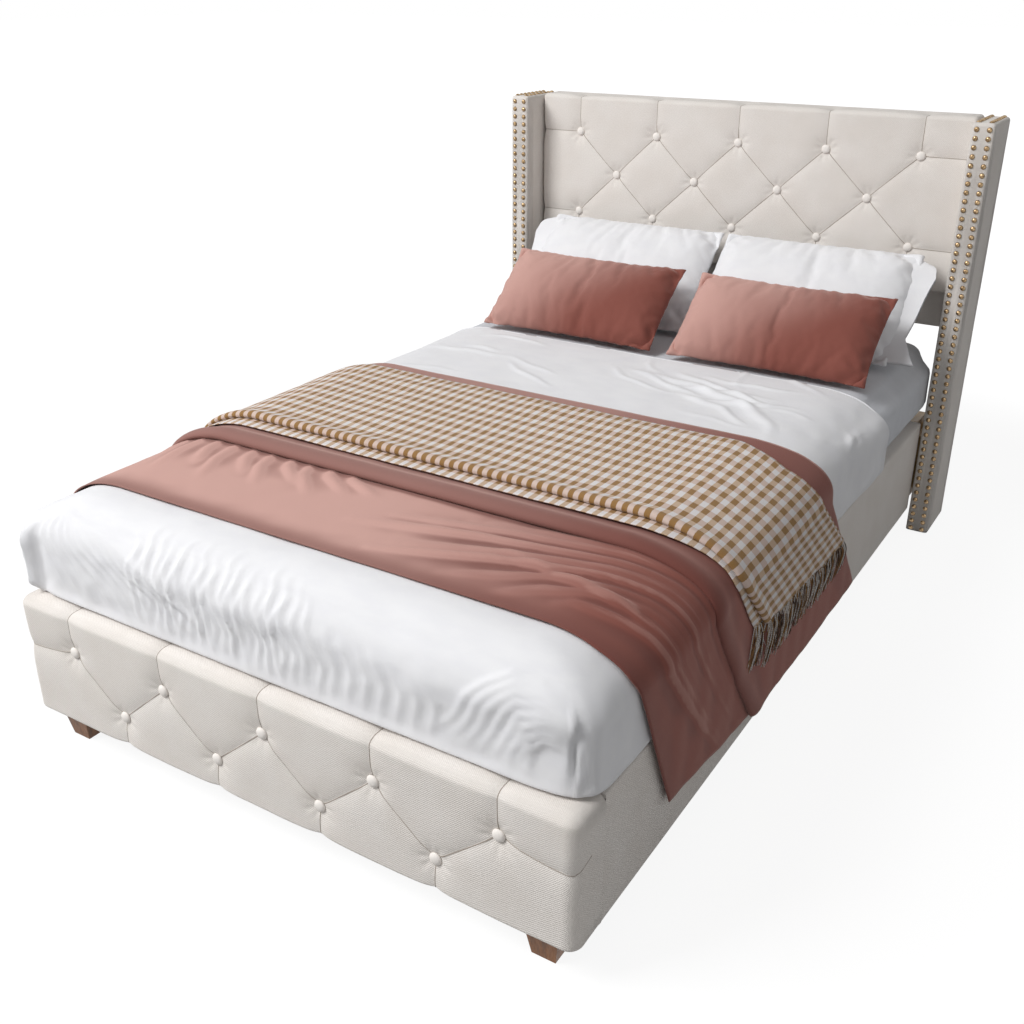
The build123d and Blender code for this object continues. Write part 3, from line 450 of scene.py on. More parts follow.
def wings(linen, brass):
    for side, side_name in SIDES:
        wing = "wing_" + side_name
        low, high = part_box(wing + "_cover")
        upholstered(wing + "_upholstery", wing + "_cover", wing + "_core", UPRIGHT,
                    radii=((0.010, 0.010), (0.010, 0.010), (0.0, 0.010)), steps=(0.006, 0.006, 0.010),
                    depth=soft_dent(0.0012, 0.22, 11 + side), material=linen)
        columns = [(low.x + high.x) / 2 + offset * NAIL_COLUMN_SPACING / 2 for offset in (-1, 1)]
        front, top = low.y + NAIL_SEAT, high.z - NAIL_SEAT
        places = [((x, front, high.z - NAIL_FIRST_DROP - i * NAIL_PITCH), (0, -1, 0), (1, 0, 0))
                  for x in columns for i in range(NAILS_FRONT)]
        places += [((x, low.y + NAIL_FIRST_DROP + i * NAIL_PITCH, top), (0, 0, 1), (1, 0, 0))
                   for x in columns for i in range(NAILS_TOP)]
        nails = lathed(wing + "_nailheads", NAIL_PROFILE, places, sides=14)
        dress(nails, brass, "frame", [wing + "_nails"])


def side_rails(linen):
    for side, side_name in SIDES:
        for section, end_radius in (("front", 0.0), ("rear", 0.010)):
            rail = f"rail_{side_name}_{section}"
            upholstered(rail + "_upholstery", rail + "_cover", rail + "_board", ((1, 1), (2, 1), (0, side)),
                        radii=((0.0, end_radius), (0.006, 0.006), (0.0, 0.012)), steps=(0.012, 0.008, 0.006),
                        depth=soft_dent(0.0014, 0.35, 21 + side), material=linen)


# Folds in cloth


def fold_height(u, v, folds):
    """Height of soft folds, each given as (points along it, half width, height)."""
    total = np.zeros_like(u)
    for line, width, height in folds:
        runs = [hypot(b[0] - a[0], b[1] - a[1]) for a, b in zip(line, line[1:])]
        nearest = np.full_like(u, 9.0)
        place = np.zeros_like(u)
        for ends, start, run in zip(zip(line, line[1:]), np.cumsum([0] + runs), runs):
            away, share = nearest_on(u, v, *ends)
            place = np.where(away < nearest, (start + share * run) / sum(runs), place)
            nearest = np.minimum(away, nearest)
        taper = np.sin(np.clip(place, 0.02, 0.98) * pi) ** 0.7
        total += height * taper * np.exp(-(nearest / width) ** 2)
    return total


def scattered_folds(count, u_limits, v_limits, turn, length, width, height, seed):
    """Short wavy folds in one part of a cloth, all running roughly the same way."""
    random = np.random.default_rng(seed)
    folds = []
    for _ in range(count):
        u, v = random.uniform(*u_limits), random.uniform(*v_limits)
        heading = turn + random.normal(0, 0.22)
        bend = random.normal(0, 0.25)
        long = length * random.uniform(0.6, 1.4)
        line = [(u, v)]
        for _ in range(3):
            heading += bend
            u, v = u + cos(heading) * long / 3, v + sin(heading) * long / 3
            line.append((u, v))
        folds.append((line, width * random.uniform(0.7, 1.3), height * random.uniform(0.5, 1.2)))
    return folds


# Mattress and duvet


def mattress(material):
    low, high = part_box("mattress")
    bedding_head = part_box("duvet")[1].y
    rail_drop = high.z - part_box("rail_right_rear_cover")[1].z

    def depth(u, v, behind):
        """The sheet bulges out between the duvet and the wings, above the rails."""
        bulge = 0.043 * smooth(np.abs(u), high.x - 0.10, high.x)
        bulge *= smooth(behind, 0.02, 0.06)
        bulge *= 1 - smooth(behind, rail_drop - 0.05, rail_drop - 0.01)
        bulge *= smooth(v, bedding_head - 0.03, bedding_head + 0.03)
        bulge *= 1 - smooth(v, high.y - 0.10, high.y - 0.02)
        return 0.0015 * (1 + ripple(u, v, 0.30, 31)) - bulge

    padding = Padding(low, high, [[MATTRESS_ROUND] * 2] * 2 + [[MATTRESS_TOP_ROUND] * 2], depth=depth)
    padding.dressed("mattress_sheet", (0.016, 0.016, 0.012), "mattress", material, "mattress")


def corner_pleats(front):
    """The pleat at the duvet's right corner and the slit at its left one."""
    pleat = ((0.650, 0.035), (0.690, 0.110), (0.732, 0.200))
    return [([(side * u + shift, front - down) for u, down in pleat], width, height)
            for side, shift, width, height in ((1, 0.0, 0.0085, 0.0105), (1, -0.020, 0.0090, -0.0080),
                                               (-1, -0.010, 0.014, -0.0100), (-1, 0.024, 0.012, 0.0060))]


def fold_fan(front, count, line, width, height, wider=0.0, higher=0.0):
    """Folds side by side. The line's places are (across, step across, beyond the front, step beyond)."""
    return [([(u + i * step_u, front + v + i * step_v) for u, step_u, v, step_v in line],
             width + wider * (i % 3), height + higher * (i % 2)) for i in range(count)]


def duvet_folds(front):
    """The duvet's folds, over its top and down its front and sides."""
    folds = corner_pleats(front)
    folds += fold_fan(front, 8, ((0.606, 0, -0.035, -0.014), (0.560, 0, -0.006, -0.016),
                                 (0.500, 0.006, -0.010, -0.018), (0.430, 0.016, -0.080, -0.014),
                                 (0.370, 0.028, -0.165, -0.004)), 0.0060, 0.0046, wider=0.0010)
    folds += fold_fan(front, 10, ((-0.600, 0.012, 0.055, -0.006), (-0.590, 0.026, -0.045, 0),
                                  (-0.560, 0.040, -0.120, 0), (-0.510, 0.046, -0.200, 0)),
                      0.0058, 0.0034, wider=0.0008, higher=0.0006)
    folds += fold_fan(front, 7, ((0.140, 0.034, -0.05, -0.006), (0.160, 0.034, -0.12, 0),
                                 (0.155, 0.034, -0.20, 0)), 0.0070, 0.0030)
    for i in range(26):
        u = -0.330 + 0.0165 * i
        turn = (0.040, -0.022, 0.030, -0.034, 0.018)[i % 5]
        top = (0.045, 0.010, 0.070, 0.025, 0.060, -0.010)[i % 6]
        line = [(u, front + top), (u + 0.5 * turn, front - 0.07), (u + turn + 0.01, front - 0.13),
                (u + 0.6 * turn + 0.02, front - 0.20)]
        folds.append((line, 0.0048, 0.0034 + 0.0008 * (i % 3)))
    folds += scattered_folds(20, (-0.35, 0.56), (0.04, 0.38), radians(165), 0.20, 0.0085, 0.0042, 47)
    folds += scattered_folds(10, (0.68, 0.84), (-0.02, 0.36), radians(-60), 0.12, 0.0090, 0.0045, 53)
    folds.append(([(0.05, 0.30), (0.22, 0.27), (0.38, 0.20), (0.47, 0.11), (0.50, 0.03)], 0.014, 0.0085))
    folds.append(([(0.20, 0.20), (0.34, 0.15), (0.43, 0.07)], 0.010, 0.0060))
    return folds


def duvet(material):
    low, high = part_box("duvet")
    bed_low, bed_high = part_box("mattress")
    spread_low, spread_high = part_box("bedspread")
    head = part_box("cushion_left")[0].y - 0.001
    folds = duvet_folds(low.y)

    def under(flat):
        """The underside over the mattress, which follows its rounded edges."""
        over = np.hypot(np.maximum(np.abs(flat[:, 0]) - bed_high.x + MATTRESS_ROUND, 0),
                        np.maximum(bed_low.y + MATTRESS_ROUND - flat[:, 1], 0))
        rounded = np.sqrt(np.maximum(1 - (over / MATTRESS_ROUND) ** 2, 0)) - 1
        return bed_high.z + 0.0003 + MATTRESS_TOP_ROUND * rounded

    def covered(u, v):
        """Where the bedspread and the pillows hide the duvet, which is smooth there."""
        share = smooth(v, spread_low.y + 0.01, spread_low.y + 0.05)
        share *= 1 - smooth(v, spread_high.y - 0.34, spread_high.y - 0.28)
        middle = 1 - smooth(np.abs(u), high.x - 0.05, high.x + 0.12)
        return share * (1 - smooth(v, -0.09, -0.03) * middle)

    def depth(u, v, behind):
        raised = fold_height(u + 0.004 * np.sin(v * 60), v + 0.004 * np.sin(u * 50), folds)
        raised += 0.0030 * ripple(u, v, 0.33, 61)
        hang = smooth(behind, 0.02, 0.10)
        raised += 0.005 * hang * ripple(u, v * 1.6, 0.20, 71)
        at_foot = 1 - smooth(v, low.y + 0.12, low.y + 0.30)
        at_head = smooth(v, high.y - 0.26, high.y - 0.08)
        out = 0.028 * smooth(-u, -low.x - 0.06, -low.x + 0.03) * at_foot
        out += 0.017 * smooth(u, high.x - 0.06, high.x + 0.03) * at_head
        return 0.004 - raised * (1 - covered(u, v)) - out * hang

    pocket = ((bed_low.x - 0.0003, bed_high.x + 0.0003), (bed_low.y - 0.0003, head - POCKET_GAP), under)
    padding = Padding(low, (high.x, head, high.z),
                      ((SHOULDER_WIDTH, SHOULDER_WIDTH), (FRONT_ROUND, 0.014), (0.012, SHOULDER_DROP)),
                      pocket, depth, corner_power=4.0)
    padding.dressed("duvet_cover", (0.006, 0.006, 0.006), "duvet", material, "mattress")


# Cloths laid over the duvet


class Arch:
    """The duvet's cross-section, along which the cloths are laid from side to side."""

    def __init__(self):
        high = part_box("duvet")[1]
        self.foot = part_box("mattress")[0].y
        self.flat = high.x - SHOULDER_WIDTH
        self.top = high.z
        self.turns = np.linspace(0, pi / 2, 181)
        outs, ups = SHOULDER_WIDTH * np.sin(self.turns), SHOULDER_DROP * np.cos(self.turns)
        self.runs = np.concatenate([[0], np.cumsum(np.hypot(np.diff(outs), np.diff(ups)))])

    def reach(self, hem_height):
        """How far from the middle a cloth reaches when its hem hangs at that height."""
        return self.flat + self.runs[-1] + self.top - SHOULDER_DROP - hem_height

    def place(self, across, lift):
        """Place (x, z) of cloth points that lie that far across, lifted off the duvet."""
        far = np.abs(across)
        turn = np.interp(far - self.flat, self.runs, self.turns)
        out, up = np.sin(turn) / SHOULDER_WIDTH, np.cos(turn) / SHOULDER_DROP
        close = lift * (1 - 0.4 * np.sin(turn)) / np.hypot(out, up)
        down = np.maximum(far - self.flat - self.runs[-1], 0)
        x = np.minimum(far, self.flat) + SHOULDER_WIDTH * np.sin(turn) + close * out
        z = self.top - SHOULDER_DROP + SHOULDER_DROP * np.cos(turn) + close * up - down
        return np.where(across < 0, -x, x), z

    def edge(self, edge, across, height):
        """Where an edge (distance, slant) of a cloth runs along the bed."""
        distance, slant = edge
        return self.foot + distance + np.where(across > 0, np.interp(height, *zip(*slant)), 0.0)

    def hang(self, across, y):
        """How far hanging cloth stands off, in slow waves that all layers share."""
        down = smooth(np.abs(across), self.flat + 0.10, self.flat + 0.40)
        return down * 0.006 * (1 + ripple(y * 1.5, across * 0.25, 0.30, 83))


def crests(lifts):
    """How far a cloth stands above (up to 1) or below (down to -1) its surroundings."""
    around = lifts
    reach = 5
    span = 2 * reach + 1
    for axis in (0, 1):
        count = around.shape[axis]
        padded = np.take(around, np.clip(np.arange(-reach - 1, count + reach), 0, count - 1), axis)
        sums = np.cumsum(padded, axis=axis)
        around = (np.take(sums, range(span, span + count), axis) - np.take(sums, range(count), axis)) / span
    return np.clip((lifts - around) / 0.0035, -1, 1)


def cloth_rows(layers, step, roll):
    """Rows of a folded cloth, from its first edge to its last, and its length.

    Each is (layer's number, share of the way to its rear, shift along the bed, lift, length of
    cloth so far, how much painted shade it gets)."""
    roll_lift, roll_reach, overhang = roll
    rows = []
    travelled = 0.0
    for number, (front, rear, lift) in enumerate(layers):
        long = rear[0] - front[0]
        forth = number % 2 == 0
        shares = np.linspace(0, 1, ceil(long / step))[::1 if forth else -1]
        for share in shares:
            rise = np.exp(-(share * long / roll_reach) ** 2) if number == 2 else 0.0
            # painted shade: the first layer darker near its front edge, and the top layer's rolled fold and
            # its part under the throw darker
            shade = (0.75 * (1 - smooth(share * long, 0.0, 0.09)), 0.0,
                     max(rise, 0.6 * smooth(share, 0.80, 0.86)))[number]
            length = travelled + abs(share - shares[0]) * long
            rows.append((number, share, 0.0, lift + roll_lift * rise, length, shade))
        travelled = rows[-1][4]
        if number < len(layers) - 1:
            radius = (layers[number + 1][2] + (0.0 if forth else roll_lift) - lift) / 2
            # painted shade: the turn under the overhanging roll is painted fully dark
            bulge, shade = (radius, 0.0) if forth else (-overhang, 1.0)
            for angle in np.radians(np.arange(20, 180, 20)):
                rows.append((number, shares[-1], bulge * sin(angle), lift + radius - radius * cos(angle),
                             travelled + radius * angle, shade))
            travelled = rows[-1][4] + radius * radians(20)
    return rows, travelled


def laid_cloth(name, arch, hems, layers, folds, step, thickness, roll):
    """A folded cloth laid across the bed, as one unbroken surface from its first edge to its last.

    layers are (front edge, rear edge, lift), each laid the other way from the one before it. roll
    is the (height, reach, overhang) of the rolled front fold."""
    left, right = arch.reach(hems[0]), arch.reach(min(height for _, height in hems[1]))
    across = np.linspace(-left, right, ceil((left + right) / step))
    rows, travelled = cloth_rows(layers, step, roll)
    points, flats, lifts, painted_shades = [], [], [], []
    for number, share, shift, lift, length, shade in rows:
        front, rear, _ = layers[number]
        hem = np.interp(front[0] + (rear[0] - front[0]) * share, *zip(*hems[1]))
        stretch = (arch.reach(hem) - arch.flat) / (right - arch.flat)
        u = np.where(across > arch.flat, arch.flat + (across - arch.flat) * stretch, across)
        height = arch.place(u, 0.0)[1]
        y = arch.edge(front, u, height) * (1 - share) + arch.edge(rear, u, height) * share + shift
        raised = lift + folds(u, y, height, number)
        lifts.append(raised)
        # painted shadow: a dark line painted on the first layer just under the rolled fold's overhang
        from_roll = y - arch.edge(layers[-1][0], u, height) + roll[2]
        painted_shades.append(np.maximum(shade, (number == 0) * np.exp(-(from_roll / 0.010) ** 2)))
        x, z = arch.place(u, raised)
        points.append(np.stack([x, y, z], axis=1))
        flats.append(np.stack([u, np.full_like(u, length)], axis=1))
    grid = np.array(points)
    item = piece(name, *joined([(grid, np.array(flats))]))
    painted_shades = np.array(painted_shades)
    painted_light_and_shade = item.data.attributes.new(PAINTED_LIGHT_AND_SHADE, "FLOAT", "POINT")
    # painted light and shade per point: crests painted pale, and hollows and the painted shades dark
    values = crests(np.array(lifts)) * (1 - painted_shades) - painted_shades
    painted_light_and_shade.data.foreach_set("value", values.ravel().astype(np.float32))
    shell = item.modifiers.new("thickness", "SOLIDIFY")
    shell.thickness = thickness
    shell.offset = 1.0
    return item, (left + right, travelled), grid, np.array([row[0] for row in rows])


def folded_layers(front, fold, rear, lifts, set_back):
    """A cloth's three layers. The last one ends a little before the others."""
    return ((front, rear, lifts[0]), (fold, rear, lifts[1]), (fold, (rear[0] - set_back, rear[1]), lifts[2]))


def bedspread(arch, material):
    ridges = []
    starts = ((0.06, 0.110), (0.00, 0.165), (0.13, 0.205), (0.10, 0.245), (0.26, 0.255), (0.36, 0.280),
              (0.32, 0.135), (0.48, 0.240), (0.20, 0.060))
    for i, (start, ahead) in enumerate(starts):
        end = 0.030 + 0.026 * i if i < 8 else 0.012
        line = [(start, ahead), (0.5 * start + 0.26, 0.45 * ahead + 0.55 * end), (0.60, end),
                (0.76, 0.9 * end), (1.00, 0.75 * end)]
        ridges.append((line, 0.0105 + 0.002 * (i % 3), 0.0085 + 0.0015 * (i % 4)))
    for i, reach in enumerate((0.17, 0.11, 0.19, 0.13, 0.18, 0.12, 0.15, 0.10, 0.13, 0.09, 0.07)):
        u = -0.64 + i * 0.050
        turn = 0.010 + 0.011 * i
        ridges.append(([(u, -0.002), (u + turn * 0.3, reach * 0.5), (u + turn, reach)], 0.0095, 0.0062))
    front_y = arch.foot + SPREAD_FRONT[0]

    def folds(u, y, height, number):
        if number:
            return arch.hang(u, y) + 0.0008 * (1 + ripple(u, y, 0.20, 85))
        ahead = arch.edge(SPREAD_FOLD, u, height) - y
        shown = smooth(ahead, -0.05, 0.0) * smooth(y, front_y, front_y + 0.04)
        raised = fold_height(u, ahead, ridges) + 0.0018 * (1 + ripple(u, y, 0.24, 81))
        return arch.hang(u, y) + shown * raised

    layers = folded_layers(SPREAD_FRONT, SPREAD_FOLD, SPREAD_REAR, (0.0008, 0.0045, 0.0115), set_back=0.012)
    item, flat, _, _ = laid_cloth("velvet_bedspread", arch, SPREAD_HEMS, layers, folds, step=0.0075,
                                  thickness=0.0022, roll=(0.015, 0.034, 0.020))
    dress(item, material, "mattress", ["bedspread"])


def throw(arch, material, yarn):
    def folds(u, y, height, number):
        on_top = 1 - smooth(np.abs(u), arch.flat + 0.02, arch.flat + 0.24)
        ahead = y - arch.foot
        back = smooth(ahead, 0.72, 0.80) * (1 - smooth(ahead, 0.82, 0.88))
        crumple = 0.0018 * (1 + ripple(u * 0.6, y * 1.8, 0.16, 91)) * on_top
        return arch.hang(u, y) + crumple + 0.0016 * on_top * back * (1 + ripple(u, y, 0.09, 93))

    layers = folded_layers(THROW_FRONT, THROW_FOLD, THROW_REAR, (0.0205, 0.0240, 0.0300), set_back=0.014)
    item, flat, grid, numbers = laid_cloth("gingham_throw", arch, THROW_HEMS, layers, folds, step=0.0065,
                                           thickness=0.0016, roll=(0.008, 0.022, 0.010))
    dress(item, material, "mattress", ["throw"])
    fringe = throw_fringe(grid, numbers, yarn)


def throw_fringe(grid, numbers, yarn):
    """Loose twisted strands along the throw's two hems."""
    random = np.random.default_rng(101)
    share = np.linspace(0, 1, 8)[:, None]
    angles = 2 * pi * np.arange(5) / 5 + share * 5
    radii = 0.0012 * (1 - 0.45 * share)
    strands = []
    for side, column in ((-1, 0), (1, -1)):
        upper, lower = grid[numbers == 2, column], grid[numbers == 0, column]
        hem = np.concatenate([lower[lower[:, 1] < upper[:, 1].min() - 0.002], upper])
        hem = hem[np.argsort(hem[:, 1])]
        start, end = hem[0, 1] + 0.002, hem[-1, 1] - 0.002
        for y in np.linspace(start, end, int((end - start) / 0.0020)):
            x, z = (np.interp(y, hem[:, 1], hem[:, k]) for k in (0, 2))
            x += side * random.uniform(-0.001, 0.003)
            lean_y, curl = random.normal(-0.06, 0.24), random.normal(0, 0.007)
            long = (0.104 - 0.034 * (y - start) / (end - start)) * random.uniform(0.84, 1.04)
            shade = random.uniform(0, 1)
            strand = np.empty((*angles.shape, 3))
            strand[..., 0] = x + side * curl * 0.4 * np.sin(share * 3) + radii * np.cos(angles)
            strand[..., 1] = y + lean_y * long * share + curl * np.sin(share * 5) + radii * np.sin(angles)
            strand[..., 2] = z + 0.004 - long * share
            along = share * long + 0 * angles
            strands.append((strand, np.stack(np.broadcast_arrays(shade, along), axis=-1)))
    item = piece("gingham_fringe", *joined(strands, closed=True))
    return dress(item, yarn, "mattress", ["throw_fringe"])


# Pillows and cushions


def sewn_blank(width, length, step, bow):
    """Two flat pieces of cloth sewn together round their edge. bow is how far their sides bow out."""
    columns, rows = ceil(width / step) + 1, ceil(length / step) + 1
    x, y = np.meshgrid(np.linspace(-1, 1, columns), np.linspace(-1, 1, rows), indexing="ij")
    x, y = x.ravel(), y.ravel()
    rim = np.maximum(np.abs(x), np.abs(y)) > 1 - 1e-6
    flat = np.stack([x * width / 2 * (1 + bow * np.abs(x) * (1 - y ** 2)),
                     y * length / 2 * (1 + 1.4 * bow * np.abs(y) * (1 - x ** 2))], axis=1)
    front = np.column_stack([flat, np.where(rim, 0.0, 0.004)])
    back = np.column_stack([flat, np.full_like(x, -0.004)])[~rim]
    back_number = np.arange(len(x))
    back_number[~rim] = len(x) + np.arange(len(back))
    faces = quads(np.arange(len(x)).reshape(columns, rows))
    return np.concatenate([front, back]), np.concatenate([faces, back_number[faces][:, ::-1]])


def inflate(name, points, faces, pressure):
    """Blow a sewn blank up with Blender's cloth, its seam held, and return where its points end."""
    blank = piece(name + "_blank", points, faces)
    seam = blank.vertex_groups.new(name="seam")
    seam.add([int(i) for i in np.flatnonzero(points[:, 2] == 0)], 1.0, "REPLACE")
    cloth = blank.modifiers.new("cloth", "CLOTH")
    for setting, value in BLOWN_CLOTH.items():
        setattr(cloth.settings, setting, value)
    cloth.settings.vertex_group_mass = seam.name
    cloth.settings.uniform_pressure_force = pressure
    cloth.settings.effector_weights.gravity = 0.0
    cloth.collision_settings.use_collision = False
    cloth.point_cache.frame_start, cloth.point_cache.frame_end = 1, BLOWN_FRAMES
    scene = bpy.context.scene
    for number in range(1, BLOWN_FRAMES + 1):
        scene.frame_set(number)
    evaluated = blank.evaluated_get(bpy.context.evaluated_depsgraph_get())
    result = np.empty(len(evaluated.data.vertices) * 3)
    evaluated.data.vertices.foreach_get("co", result)
    scene.frame_set(1)
    bpy.data.objects.remove(blank)
    return result.reshape(-1, 3)


def soft_body(name, size, step, pressure, bow, seed):
    """A stuffed cushion lying flat around its middle, scaled to its measured size."""
    width, length, thickness = size
    points, faces = sewn_blank(width, length, step, bow)
    flat = points[:, :2].copy()
    random = np.random.default_rng(seed)
    points[:, 2] *= 1 + random.uniform(-0.3, 0.3, len(points))
    shaped = inflate(name, points, faces, pressure)
    shaped -= (shaped.max(0) + shaped.min(0)) / 2
    shaped *= np.array(size) / (shaped.max(0) - shaped.min(0))
    x, y, z = shaped.T
    z[:] = np.sign(z) * thickness / 2 * (np.abs(z) * 2 / thickness) ** 0.76
    for corner_x, corner_y in ((-1, -1), (-1, 1), (1, -1), (1, 1)):
        dx, dy = x - corner_x * width / 2, y - corner_y * length / 2
        gathers = np.cos(11 * np.arctan2(dy, dx) + seed) * np.exp(-((np.hypot(dx, dy) - 0.055) / 0.035) ** 2)
        z += 0.0035 * gathers * np.sign(z) * np.clip(np.abs(z) / 0.02, 0, 1)
    return shaped, faces, flat


def leant(points, middle, turn):
    """Points that lie flat, stood up to lean back, and flattened where they rest on the mattress."""
    x, y, z = points.T
    low_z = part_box("mattress")[1].z + 0.0006
    up = y * sin(turn) + z * cos(turn) + middle[2]
    up = np.where(up < low_z + 0.006, low_z + np.maximum(up - low_z, 0) ** 2 / 0.012, up)
    return np.stack([x + middle[0], y * cos(turn) - z * sin(turn) + middle[1], up], axis=1)


def stuffed(node, body, middle, turn, material):
    """A pillow's or cushion's soft body, leant in its place."""
    shaped, faces, flat = body
    item = piece(node + "_body", leant(shaped, middle, turn), faces, flat)
    item.modifiers.new("smooth", "SUBSURF").render_levels = 1
    dress(item, material, node, [node])


def pillows(material):
    for side, side_name in SIDES:
        node = "pillow_" + side_name
        low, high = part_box(node)
        inner = low.x if side > 0 else high.x
        middle = (inner + side * PILLOW_SIZE[0] / 2, (low.y + high.y) / 2, (low.z + high.z) / 2)
        body = soft_body(node, PILLOW_SIZE, step=0.011, pressure=6.0, bow=-0.012, seed=111 + side)
        shaped, _, flat = body
        uneven = 0.004 * ripple(flat[:, 0], flat[:, 1], 0.22, 113 + side)
        shaped[:, 2] += uneven * np.clip(np.abs(shaped[:, 2]) / 0.03, 0, 1)
        stuffed(node, body, middle, PILLOW_LEAN, material)
        pillow_hem(node, side, middle, material)


def pillow_hem(node, side, middle, material):
    """The open end of the pillow's case, a flat flap beyond the pillow."""
    width, length, _ = PILLOW_SIZE
    start = width * 0.44
    out, up = np.meshgrid(np.linspace(0, 1, 16), np.linspace(0, 1, 40), indexing="ij")
    x = start + (width / 2 + np.interp(up, *zip(*PILLOW_HEM)) - start) * out
    y = (up - 0.5) * length * (0.93 + (0.06 - 0.12 * out) * smooth(up, 0.5, 1.0))
    wave = 0.006 * out * np.sin(up * 9 + side)
    thick = (0.0045 + 0.016 * (1 - out) ** 2 * np.sin(up * pi)) * (1 - np.abs(2 * up - 1) ** 8)
    flat = np.stack([x, y], axis=-1)
    points, faces, flats = joined([(np.stack([side * x, y, wave + face * thick], axis=-1), flat)
                                   for face in (1, -1)])
    item = piece(node + "_case_end", leant(points, middle, PILLOW_LEAN), faces, flats, weld=2e-4)
    dress(item, material, node)


def cushions(material):
    for side, side_name in SIDES:
        node = "cushion_" + side_name
        low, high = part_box(node)
        body = soft_body(node, CUSHION_SIZE, step=0.010, pressure=6.5, bow=-0.040, seed=121 + side)
        stuffed(node, body, (low + high) / 2, CUSHION_LEAN, material)


# Materials


def colour(red, green, blue):
    """A colour given in screen values from 10 to 255."""
    return (*[((value / 255 + 0.055) / 1.055) ** 2.4 for value in (red, green, blue)], 1.0)


class Nodes:
    """A tree of shader nodes, and short ways to add to it."""

    def __init__(self, tree):
        self.tree = tree

    def put(self, source, socket):
        """Link a socket to another, or give it its value. A colour is given in screen values."""
        if isinstance(source, bpy.types.NodeSocket):
            self.tree.links.new(source, socket)
        else:
            socket.default_value = colour(*source) if socket.type == "RGBA" else source

    def node(self, kind, inputs=(), **values):
        """A new node's outputs. Its inputs are given by name or number."""
        node = self.tree.nodes.new("ShaderNode" + kind)
        for name, value in values.items():
            setattr(node, name, value)
        for name, source in dict(inputs).items():
            self.put(source, node.inputs[name])
        return node.outputs

    def math(self, operation, *values):
        return self.node("Math", enumerate(values), operation=operation)[0]

    def plus(self, first, second):
        return self.math("ADD", first, second)

    def times(self, first, second):
        return self.math("MULTIPLY", first, second)

    def seen(self):
        """Whether a ray comes from the camera, a mirror or glass."""
        rays = self.node("LightPath")
        seen = self.math("MAXIMUM", rays["Is Camera Ray"], rays["Is Glossy Ray"])
        return self.math("MAXIMUM", seen, rays["Is Transmission Ray"])


class Finish(Nodes):
    """A material that is built up around one shader."""

    def __init__(self, name, roughness, metallic=0.0):
        self.material = bpy.data.materials.new(name)
        self.material.use_nodes = True
        super().__init__(self.material.node_tree)
        self.shader = next(n for n in self.tree.nodes if n.type == "BSDF_PRINCIPLED")
        self.set("Roughness", roughness)
        self.set("Metallic", metallic)

    def set(self, name, source):
        self.put(source, self.shader.inputs[name])

    def paint(self, share, first, second):
        self.set("Base Color", self.mix(share, first, second))

    def sheen(self, weight, roughness, tint):
        for name, value in (("Weight", weight), ("Roughness", roughness), ("Tint", tint)):
            self.set("Sheen " + name, value)

    def flat(self):
        """Flat cloth coordinates."""
        return self.node("UVMap", uv_map=CLOTH_UV)["UV"]

    def space(self):
        """Coordinates in the piece's own space."""
        return self.node("TexCoord")["Object"]

    def parts(self, vector):
        return self.node("SeparateXYZ", {0: vector})

    def stretch(self, vector, scale):
        return self.node("Mapping", {"Vector": vector, "Scale": scale})[0]

    def noise(self, vector, scale, detail=3.0, roughness=0.55):
        inputs = {"Vector": vector, "Scale": scale, "Detail": detail, "Roughness": roughness}
        return self.node("TexNoise", inputs)[0]

    def mix(self, share, first, second):
        return self.node("Mix", {0: share, 6: first, 7: second}, data_type="RGBA")[2]

    def spread(self, value, low, high, to_low=0.0, to_high=1.0):
        """A smooth step of a value between low and high, brought to two results."""
        inputs = enumerate((value, low, high, to_low, to_high))
        return self.node("MapRange", inputs, interpolation_type="SMOOTHSTEP")[0]

    def threads(self, coordinate, pitch, wobble=0.0):
        return self.math("SINE", self.plus(self.times(coordinate, 2 * pi / pitch), wobble))

    def weave(self, across, along, pitches, wobble=0.0):
        """Threads that cross, each way with its own pitch."""
        return self.times(self.threads(across, pitches[0], wobble), self.threads(along, pitches[1], wobble))

    def bump(self, height, distance, strength=1.0):
        """Add a relief to the one that the shader already has."""
        normal = self.shader.inputs["Normal"]
        inputs = {"Strength": strength, "Distance": distance, "Height": height}
        if normal.is_linked:
            inputs["Normal"] = normal.links[0].from_socket
        self.set("Normal", self.node("Bump", inputs)[0])


def linen_finish(name, flat=True):
    """Cream woven upholstery cloth with uneven threads."""
    finish = Finish(name, roughness=0.85)
    place = finish.flat() if flat else finish.space()
    across, along, up = finish.parts(place)
    if not flat:
        along = finish.plus(along, up)
    slub = finish.noise(place, 260)
    weave = finish.weave(across, along, (0.0046, 0.0042), finish.times(slub, 2.0))
    height = finish.plus(finish.times(weave, 0.6), slub)
    cloudy = finish.noise(place, 9, detail=2)
    base = finish.mix(finish.spread(cloudy, 0.3, 0.7), (234, 228, 222), (239, 234, 229))
    finish.paint(finish.spread(height, 0.0, 0.9, 0.42, 0.0), base, (190, 181, 172))
    finish.bump(height, 0.0007, 0.8)
    finish.sheen(0.10, 0.5, (255, 250, 242))
    return finish.material


def seam_shade_finish():
    """The seam's thread, a darker line that is partly painted shade of the seam's crease."""
    finish = Finish("seam_thread_painted_shade", roughness=0.9)
    twist = finish.threads(finish.parts(finish.flat())[0], 0.0024)
    # painted shade: the thread's colours are darker than the linen, for the shade in the seam's crease
    finish.paint(finish.spread(twist, -1.0, 1.0), (138, 126, 116), (176, 164, 152))
    finish.bump(twist, 0.0002, 0.5)
    return finish.material


